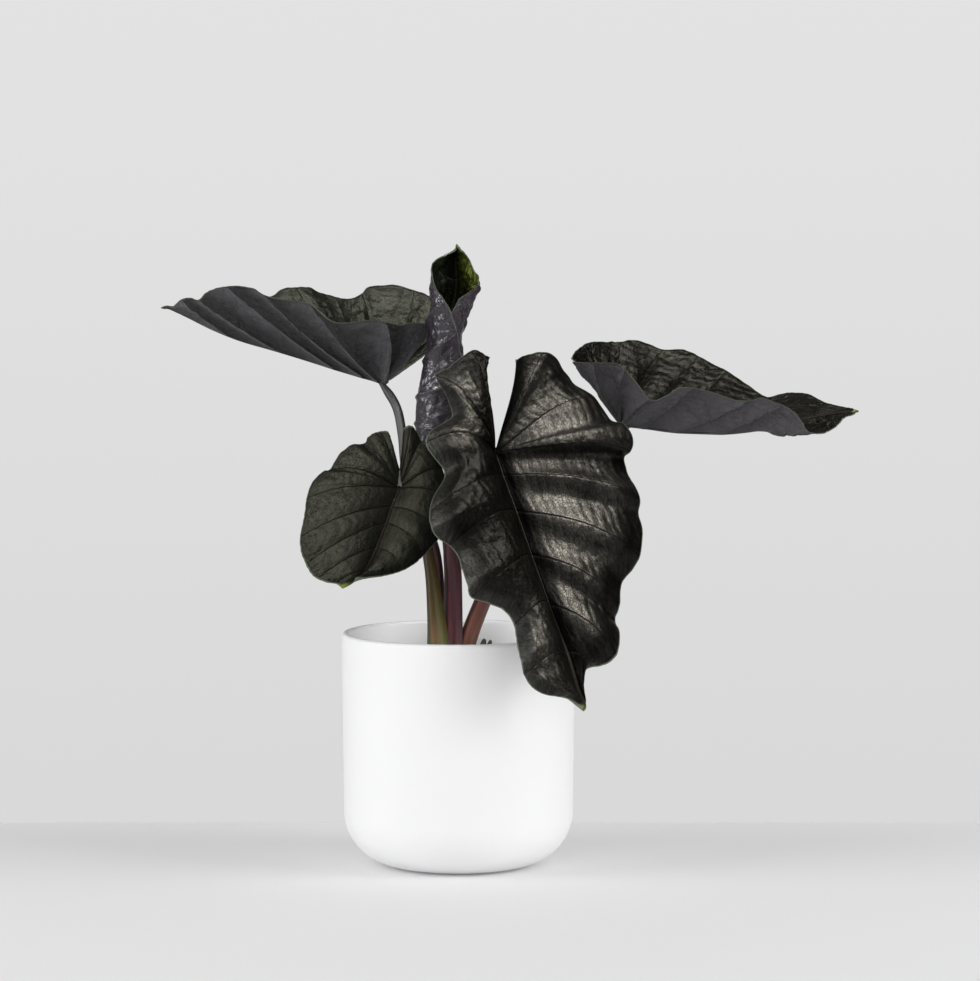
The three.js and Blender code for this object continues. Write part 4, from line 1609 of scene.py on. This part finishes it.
@dataclass
class Studio:
    """The pale table, the even backdrop, the lights and the camera."""

    image_width: int = 980
    focal_pixels: float = 3677.0
    sensor_mm: float = 36.0
    camera_away: float = 2.2
    camera_side: float = 0.019
    camera_height: float = 0.38677
    camera_pitch: float = 4.2
    table_back: float = 0.149
    table_front: float = -1.6
    table_side: float = 1.7
    table_drop: float = 0.0004
    table: Colour = (0.865, 0.865, 0.87)
    table_glow: float = 0.04
    wall_high: Colour = (0.765, 0.765, 0.765)
    wall_low: Colour = (0.69, 0.69, 0.69)
    fill: float = 0.46
    gloss_right: float = 0.03
    gloss_left: float = 0.22
    gloss_wall: float = 0.5
    lights: Sequence[SoftBox] = (
        SoftBox("left_box", (-2.4, -0.8, 0.95), (0, 0, 0.12), (1.4, 1.4), 28),
        SoftBox("right_box", (2.4, -0.8, 0.85), (0, 0, 0.12), (1.4, 1.4), 37),
        SoftBox("front_box", (-0.95, -3.1, 0.95), (0, 0, 0.15), (2.9, 1.6), 28),
        SoftBox("mouth_light", (0, -0.05, 0.128), (0, 0.1, 0.132), (0.076, 0.012), 0.05),
        SoftBox(
            "high_sheen", (0.2, -0.85, 1.66), (0, 0, 0.2), (1.4, 1.0), 92, (1.0, 0.96, 0.91), gloss=True
        ),
        SoftBox(
            "left_sparkle", (-0.75, -1.5, 0.95), (0, 0, 0.2), (0.3, 0.3), 3.5, (0.94, 0.97, 1.0), gloss=True
        ),
        SoftBox(
            "side_sheen", (-1.5, -0.6, 0.75), (0, 0, 0.2), (0.6, 0.8), 16, (0.92, 0.96, 1.0), gloss=True
        ),
    )

    def camera(self) -> None:
        """Sets up the camera where the photograph was taken from."""
        data = bpy.data.cameras.new("camera")
        data.sensor_width = self.sensor_mm
        data.sensor_fit = "HORIZONTAL"
        data.lens = self.focal_pixels / self.image_width * self.sensor_mm
        data.clip_start = 0.05
        data.clip_end = 50
        camera = bpy.data.objects.new("camera", data)
        camera.location = (self.camera_side, -self.camera_away, self.camera_height)
        camera.rotation_euler = (math.radians(90 - self.camera_pitch), 0, 0)
        bpy.context.scene.collection.objects.link(camera)
        bpy.context.scene.camera = camera

    def lay_table(self) -> None:
        """Lays the table, whose back edge meets the backdrop."""
        bm = bmesh.new()
        bmesh.ops.create_grid(bm, x_segments=24, y_segments=24, size=0.5)
        deep = self.table_back - self.table_front
        bmesh.ops.scale(bm, vec=(2 * self.table_side, deep, 1), verts=bm.verts)
        middle = (self.table_back + self.table_front) / 2
        bmesh.ops.translate(bm, vec=(0, middle, -self.table_drop), verts=bm.verts)
        mesh = bpy.data.meshes.new("table")
        bm.to_mesh(mesh)
        bm.free()
        material, recipe = new_material("table_lacquer")
        rough = recipe.grain(300, 1).ramp(0.2, 0.8, 0.4, 0.44)
        glow = {"Emission_Color": (1.0, 1.0, 1.0, 1.0), "Emission_Strength": self.table_glow}
        recipe.surface(self.table, Roughness=rough, Specular_IOR_Level=0.0, **glow)
        mesh.materials.append(material)
        table = bpy.data.objects.new("table", mesh)
        bpy.context.scene.collection.objects.link(table)

    def backdrop(self) -> None:
        """Fills the world with the backdrop's even tone."""
        world = bpy.data.worlds.new("backdrop")
        world.use_nodes = True
        bpy.context.scene.world = world
        recipe = Recipe(world.node_tree)
        seen_by = ("Is Camera Ray", "Is Glossy Ray")
        path = {name: recipe.node("ShaderNodeLightPath", {}, {}, name) for name in seen_by}
        direction = recipe.node("ShaderNodeTexCoord", {}, {}, "Generated")
        across, back, up = (
            recipe.node("ShaderNodeSeparateXYZ", {}, {0: direction}, axis) for axis in "XYZ"
        )
        seen = recipe.mix(up.ramp(-0.2, 0.08), self.wall_low, self.wall_high)
        gloss = across.ramp(0.45, -0.45, self.gloss_right, self.gloss_left)
        gloss = gloss + (self.gloss_wall - gloss) * back.ramp(0.75, 0.93)
        strength = self.fill + (gloss - self.fill) * path["Is Glossy Ray"]
        colour = recipe.mix(path["Is Camera Ray"], (1.0, 1.0, 1.0), seen)
        strength = strength + (1 - strength) * path["Is Camera Ray"]
        shader = recipe.node("ShaderNodeBackground", {}, {"Color": colour, "Strength": strength})
        recipe.show(shader, "ShaderNodeOutputWorld")

    def set_up(self) -> None:
        """Puts everything round the plant in place."""
        bpy.context.scene.view_settings.view_transform = "Standard"
        self.camera()
        self.lay_table()
        self.backdrop()
        for light in self.lights:
            light.hang()


@dataclass
class Leaf:
    """A blade on its petiole."""

    blade: Blade
    stalk: Stalk

    def dress(self, upper: bpy.types.Material, under: bpy.types.Material, skin: bpy.types.Material) -> None:
        """Makes both pieces.

        Args:
            upper: The material of the blade's upper face.
            under: The material of its lower face.
            skin: The material of the petiole.
        """
        self.blade.dress(upper, under)
        self.stalk.dress(skin, self.blade)


FRONT_BLADE = BladePattern(
    midrib=(
        (22, -48, 251), (28, -53, 234), (33.7, -58, 219), (41.8, -64, 196), (52, -73, 168), (63, -82, 138),
        (70, -89, 114), (73, -92, 104),
    ),
    vein_starts=(0, 0, 0, 0, 0.11, 0.3, 0.45, 0.59, 0.72, 1),
    left=(
        ((19, -22, 306),),
        ((14, -28, 310), (9, -30, 311)),
        ((0, -38, 305), (-5, -39, 301), (-12, -40, 297)),
        ((-6, -44, 286), (-2, -48, 275), (-5, -54, 271), (-14, -63, 266), (-17, -65, 259)),
        ((-13, -68, 252), (-6, -69, 241), (-12, -82, 229), (-14, -89, 221)),
        ((-13, -97, 213), (-10, -96, 207), (-3, -89, 201)),
        ((2, -89, 195), (5, -94, 187), (8, -101, 179), (10, -100, 172)),
        ((21, -91, 167), (29, -86, 162), (34, -87, 154)),
        ((35.5, -94, 145), (38, -102, 135), (39.5, -102, 126.5)),
        (
            (44.3, -104, 120.2), (51.7, -102, 115.5), (59.2, -99, 114), (64.3, -95, 112.2),
            (69.6, -93, 107.4), (73, -92, 104),
        ),
    ),
    right=(
        ((34, -32, 305),),
        ((40, -35, 308), (51, -33, 310)),
        ((58, -29, 307), (64, -29, 298), (70, -31, 291), (81, -33, 284)),
        ((90, -38, 271), (98, -46, 268), (103, -49, 260), (102, -46, 253)),
        ((99, -38, 248), (101, -43, 238), (107, -53, 227)),
        ((107, -50, 216), (109, -54, 207), (107, -64, 193)),
        ((103, -60, 184), (97, -61, 176), (95, -70, 164)),
        ((93, -69, 155), (95, -75, 149), (93, -84, 138)),
        ((89, -85, 133), (84, -82, 130), (78, -79, 128), (75, -79, 125)),
        ((73, -85, 117), (72, -89, 110), (73, -92, 104)),
    ),
    sinus=(0.55, 0.35),
    arch=(13, 12),
    quilt=(1.2, -3.6),
    roll=(4, 5),
)
FRONT_STALK = Stalk(
    name="petiole_front",
    route=(
        (-3.8, -2.5, 96), (-3.8, -2.5, 116), (-3.6, -2.6, 132), (-3.2, -3, 171), (-3.8, -5, 194),
        (1, -11, 222), (8, -23, 243), (15, -35, 251), (20, -43, 249.5), (25, -54, 242),
    ),
    radii=(4.4, 5.5, 5.9, 5.6, 5.1, 4.3, 3.5, 3, 2.7, 2.4),
    slot=Slot.RED_STALK,
)
LOWER_LEFT_BLADE = BladePattern(
    midrib=(
        (-34, -27, 239), (-35, -34, 229), (-39, -44, 219), (-42, -52, 210), (-46, -62, 200),
        (-49, -69, 193), (-54, -79, 184), (-60, -86, 178), (-66, -91, 175),
    ),
    vein_starts=(0, 0.125, 0.125, 0.125, 0.125, 0.25, 0.375, 0.56, 0.76, 1),
    left=(
        ((-40, -20, 259),),
        ((-42, -20, 262), (-46, -21, 262)),
        ((-50, -24, 261), (-53, -26, 259), (-56, -28, 255)),
        ((-62, -33, 255), (-67, -37, 252), (-71, -41, 248), (-75, -45, 241)),
        ((-79, -49, 240), (-85, -56, 234), (-88, -63, 225)),
        ((-89, -72, 215), (-91, -80, 204)),
        ((-90, -86, 196), (-87, -89, 189)),
        ((-84, -92, 184), (-80, -93, 181)),
        ((-75, -93, 179), (-70, -92, 178)),
        ((-68, -92, 177), (-66, -91, 175)),
    ),
    right=(
        ((-33, -17, 260),),
        ((-32, -16, 264), (-28, -14, 265)),
        ((-25, -13, 262), (-22, -14, 256)),
        ((-18, -16, 253), (-12, -18, 247), (-9, -21, 239)),
        ((-6, -26, 231), (-5, -31, 222)),
        ((-6, -38, 213), (-10, -45, 202)),
        ((-14, -52, 197), (-20, -58, 191)),
        ((-25, -64, 187), (-33, -70, 183)),
        ((-43, -77, 181), (-53, -82, 180)),
        ((-58, -86, 179), (-62, -89, 177), (-66, -91, 175)),
    ),
    sinus=(0.2, 0.2),
    arch=(5, 4),
    quilt=(0.6, 0.6),
    rib=1.2,
)
LOWER_LEFT_STALK = Stalk(
    name="petiole_lower_left",
    route=(
        (-13, 12.5, 96), (-13, 12.5, 116), (-12.2, 13, 150), (-12.4, 13.5, 176), (-16, 13, 194),
        (-24, 11, 205), (-32, 6, 211), (-36.5, -6, 215), (-38, -20, 218), (-37, -42, 223),
    ),
    radii=(3, 3.6, 3.3, 3.1, 3, 2.9, 2.8, 2.6, 2.5, 2.3),
    slot=Slot.RED_STALK,
)
UPPER_LEFT_BLADE = BladePattern(
    midrib=(
        (-45, 30, 289.5), (-66, 26, 295.5), (-85, 23, 301.5), (-107, 19, 308.5), (-128, 15, 314.5),
        (-146, 12, 321.5), (-161, 9, 329), (-172, 7, 334.5), (-178, 6, 335),
    ),
    vein_starts=(0, 0, 0, 0.02, 0.07, 0.18, 0.37, 0.55, 1),
    left=(
        ((-12, 44, 311),),
        ((-8, 53, 318), (-7, 60, 327)),
        ((-12, 65, 337), (-19, 66, 341), (-28, 69, 344)),
        ((-38, 70, 347), (-48, 69, 347), (-56, 66, 346), (-60, 62, 342)),
        ((-67, 61, 339), (-76, 64, 340)),
        ((-86, 62, 343), (-92, 59, 346), (-100, 55, 346)),
        ((-108, 53, 345), (-116, 50, 340), (-126, 44, 340)),
        ((-136, 39, 339), (-148, 31, 337)),
        ((-159, 22, 335), (-169, 13, 334), (-178, 6, 335)),
    ),
    right=(
        ((-14, 25, 322),),
        ((-15, 18, 325), (-18, 9, 325)),
        ((-28, -4, 326), (-35, -13, 325), (-43, -22, 327)),
        ((-53, -29, 328), (-62, -34, 327), (-71, -35, 327), (-77, -36, 330), (-87, -33, 338)),
        ((-97, -35, 340), (-106, -32, 341), (-114, -27, 343)),
        ((-121, -29, 347), (-128, -26, 348), (-137, -20, 348)),
        ((-148, -19, 345), (-154, -13, 340)),
        ((-159, -11, 341), (-165, -6, 340)),
        ((-170, -2, 336), (-175, 2, 336), (-178, 6, 335)),
    ),
    sinus=(0.1, 0.1),
    arch=(-3, -5),
    quilt=(3.5, 3.5),
    rib=1.6,
)
UPPER_LEFT_STALK = Stalk(
    name="petiole_upper_left",
    route=(
        (-12.4, -12, 96), (-12, -12.2, 116), (-12.2, -12, 135), (-13.8, -10.5, 155), (-16.4, -7.5, 178),
        (-22, -1.5, 207), (-31, 7, 235), (-34, 15, 258), (-38, 22, 275), (-48, 30, 290),
    ),
    radii=(4.4, 6, 6.4, 5.1, 3.9, 3.4, 3, 2.7, 2.6, 2.5),
    slot=Slot.OLIVE_STALK,
)
RIGHT_BLADE = BladePattern(
    midrib=(
        (98, 8, 265), (112, 5, 263.5), (127, 2, 261.5), (145, -1, 260.5), (161, -4, 260.5),
        (178, -8, 262.5), (195, -12, 265.5), (210, -15, 270), (224, -17, 272.5), (238, -18, 274),
    ),
    vein_starts=(0, 0, 0, 0, 0.1, 0.25, 0.42, 0.6, 0.8, 1),
    left=(
        ((68, -15, 303),),
        ((73, -23, 303), (81, -31, 303)),
        ((93, -38, 303), (99, -41, 299)),
        ((105, -45, 292), (113, -45, 282)),
        ((121, -48, 284), (130, -48, 289), (139, -44, 289)),
        ((148, -45, 287), (162, -42, 282), (171, -38, 281)),
        ((178, -40, 283), (184, -40, 281), (192, -37, 278)),
        ((199, -39, 274), (203, -38, 268), (208, -36, 262)),
        ((217, -34, 262), (224, -29, 266)),
        ((230, -25, 271), (238, -18, 274)),
    ),
    right=(
        ((68, 18, 304),),
        ((72, 27, 309), (80, 35, 313)),
        ((92, 44, 313), (99, 46, 313)),
        ((107, 50, 314), (117, 52, 311), (125, 51, 308)),
        ((137, 53, 308), (147, 50, 304)),
        ((156, 50, 299), (164, 45, 295)),
        ((176, 42, 287), (187, 34, 280)),
        ((196, 30, 282), (204, 23, 283)),
        ((212, 18, 282), (220, 8, 278)),
        ((229, -4, 276), (234, -11, 275), (238, -18, 274)),
    ),
    sinus=(0.1, 0.1),
    arch=(-4, -3),
    quilt=(3.5, 3.5),
    rib=1.6,
)
RIGHT_STALK = Stalk(
    name="petiole_right",
    route=(
        (3.6, 6.8, 96), (3.6, 6.6, 116), (5.6, 6.2, 134), (15.4, 5.6, 160), (29, 5.4, 190), (47, 6.5, 221),
        (67, 7.5, 245), (86, 8, 256), (95, 7.8, 258.6), (103, 7, 264),
    ),
    radii=(4, 4.7, 5.2, 5, 4.4, 3.7, 3, 2.5, 2.3, 2.2),
    slot=Slot.RED_STALK,
)
ROLLED_BLADE = RolledPattern(
    midrib=(
        (0, 0, 268), (0, 0, 285), (0, 0, 303), (0, 0, 321), (0, 0, 339), (0, 0, 357), (0, 0, 373),
    ),
    vein_starts=(0, 0, 0, 0.08, 0.25, 0.42, 0.6, 0.78, 1),
    left=(
        ((-20, 0, 256),),
        ((-60, 0, 251), (-110, 0, 252)),
        ((-160, 0, 258), (-205, 0, 268)),
        ((-235, 0, 282), (-232, 0, 300)),
        ((-205, 0, 318), (-176, 0, 333)),
        ((-170, 0, 337), (-165, 0, 340.4), (-151, 0, 342.5)),
        ((-136, 0, 344.5), (-104, 0, 347.5), (-84, 0, 352)),
        ((-66, 0, 354.5), (-47, 0, 357.5), (-29, 0, 365)),
        ((-12, 0, 370.5), (0, 0, 373)),
    ),
    right=(
        ((20, 0, 256),),
        ((60, 0, 250), (110, 0, 251)),
        ((165, 0, 255), (215, 0, 264)),
        ((248, 0, 280), (247, 0, 295)),
        ((231, 0, 309), (211, 0, 321)),
        ((180, 0, 333), (161, 0, 338.5)),
        ((146, 0, 342.5), (131, 0, 345.6), (110, 0, 351.7)),
        ((88, 0, 358.5), (60, 0, 363)),
        ((35, 0, 366), (8, 0, 369.5), (0, 0, 373)),
    ),
    quilt=(1, 1),
    rib=1,
    axis=(
        (-13.5, 5, 245), (-12.8, 5, 265), (-11, 5, 285), (-8.5, 5, 305), (-6.2, 5, 325), (-1.6, 5, 345),
        (-1.5, 5, 365), (0, 5, 385),
    ),
    radii=(10, 13, 13, 11.2, 11.6, 14.2, 13.5, 5),
)
ROLLED_STALK = Stalk(
    name="petiole_rolled",
    route=(
        (-6, 8.4, 96), (-6, 8.2, 116), (-5.6, 7.6, 150), (-5.6, 7.6, 178), (-8.2, 10.4, 205),
        (-12.4, 16, 230), (-13.6, 21, 248), (-12.8, 22.6, 262), (-11.8, 20.4, 278),
    ),
    radii=(3, 3.6, 3.2, 3, 2.8, 2.6, 2.4, 2.1, 1.6),
    slot=Slot.OLIVE_STALK,
)
SCRAPS = (
    Stalk(
        name="left_scrap",
        route=((11, 12, 100), (11.5, 12.5, 112), (13.5, 14, 124), (15.6, 16, 134)),
        radii=(2.8, 3.8, 3.6, 1.0),
        slot=Slot.HUSK,
        rings=40,
        neck=1,
        wobble=0.12,
    ),
    Stalk(
        name="right_scrap",
        route=((11.4, 12, 100), (13.5, 13, 112), (17, 15.5, 124), (19.4, 18, 133)),
        radii=(2.8, 3.5, 3.2, 0.8),
        slot=Slot.HUSK,
        rings=40,
        neck=1,
        wobble=0.12,
    ),
)

OLIVE_SKIN = StalkSkin(
    "olive_skin",
    foot=(0.029, 0.032, 0.008),
    middle=(0.031, 0.025, 0.006),
    top=(0.038, 0.041, 0.04),
    flush=(0.052, 0.024, 0.008),
    polish=0.42,
)
RED_SKIN = StalkSkin(
    "red_skin",
    foot=(0.026, 0.012, 0.010),
    middle=(0.030, 0.010, 0.014),
    top=(0.030, 0.022, 0.029),
    flush=(0.048, 0.012, 0.014),
)
DUSKY_SKIN = StalkSkin(
    "dusky_skin",
    foot=(0.05, 0.022, 0.02),
    middle=(0.036, 0.012, 0.017),
    top=(0.012, 0.011, 0.010),
    flush=(0.055, 0.016, 0.018),
    polish=0.5,
)
RUSSET_SKIN = StalkSkin(
    "russet_skin",
    foot=(0.055, 0.032, 0.018),
    middle=(0.055, 0.018, 0.016),
    top=(0.04, 0.026, 0.03),
    flush=(0.085, 0.03, 0.02),
)


def main() -> None:
    """Builds the potted plant and the studio round it."""
    logging.basicConfig(level=logging.INFO, format="%(name)s: %(message)s")
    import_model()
    pot = Pot()
    pot.dress(Glaze().make())
    soil = SoilBed()
    soil.bed(pot, Earth().make())
    soil.chips(pot, Bark().make())
    soil.grains(pot, Perlite().make())
    DrySheath(SCRAPS).dress(Husk().make())
    plain = VelvetFace("velvet_upper", shine=0.15).make()
    front = VelvetFace(
        "velvet_front", polish=0.40, matt=0.47, shine=0.78, painted_hollow_shade=0.96, painted_shade_left=0.88, painted_shade_rim=0.65,
        glint_net_right=0.0,
    ).make()
    old = VelvetFace(
        "velvet_old", (0.011, 0.012, 0.008), (0.016, 0.017, 0.012), tip=(0.22, 0.26, 0.05),
        tip_reach=0.035, polish=0.42, matt=0.52, shine=0.07, painted_hollow_shade=0.2, painted_shade_middle=0.0,
        glint_net_right=0.2, relief=0.16,
    ).make()
    far = VelvetFace(
        "velvet_far", (0.009, 0.014, 0.008), (0.017, 0.020, 0.014),
        polish=0.42, matt=0.52, shine=0.2, painted_hollow_shade=0.1, painted_shade_middle=0.0, relief=0.3,
    ).make()
    under = UnderFace("velvet_under").make()
    flat_under = UnderFace(
        "velvet_under_right", (0.026, 0.024, 0.027), (0.068, 0.063, 0.069), (0.02, 0.019, 0.02),
        painted_light_past_rib=0.2, painted_light_before_rib=0.9,
    ).make()
    # The rolled leaf's inner face: painted shade down the middle of the roll and painted light near its
    # open edge.
    new_upper = VelvetFace(
        "new_upper", (0.006, 0.010, 0.004), (0.010, 0.018, 0.006), (0.014, 0.028, 0.008),
        ridge=(0.006, 0.008, 0.003), flush=(0.15, 0.18, 0.01), flushed=0.9, shine=0.3, painted_shade_middle=1.0,
        keel_shine=0.0, glint_net_left=0.0, glint_net_right=0.0,
    ).make()
    new_under = UnderFace(
        "new_under", (0.018, 0.014, 0.019), (0.055, 0.044, 0.057), (0.09, 0.075, 0.095),
        painted_light_past_rib=0.6, painted_light_before_rib=0.3, polish=0.22, matt=0.34, shine=0.8, streak=0.05,
    ).make()
    olive, red = OLIVE_SKIN.make(), RED_SKIN.make()
    dusky, russet = DUSKY_SKIN.make(), RUSSET_SKIN.make()
    Leaf(Blade("blade_front", FRONT_BLADE, knobs=2.2), FRONT_STALK).dress(front, under, red)
    old_blade = Blade("blade_lower_left", LOWER_LEFT_BLADE, ridge=0.2, pucker=0.3)
    Leaf(old_blade, LOWER_LEFT_STALK).dress(old, under, dusky)
    Leaf(Blade("blade_upper_left", UPPER_LEFT_BLADE), UPPER_LEFT_STALK).dress(far, under, olive)
    Leaf(Blade("blade_right", RIGHT_BLADE, pucker=0.8), RIGHT_STALK).dress(plain, flat_under, russet)
    new_blade = Blade(
        "blade_rolled", ROLLED_BLADE, Slot.NEW_LEAF, ridge=0.0, pucker=1.5, pucker_size=14.0
    )
    Leaf(new_blade, ROLLED_STALK).dress(new_upper, new_under, olive)
    Studio().set_up()


if __name__ == "__main__":
    main()
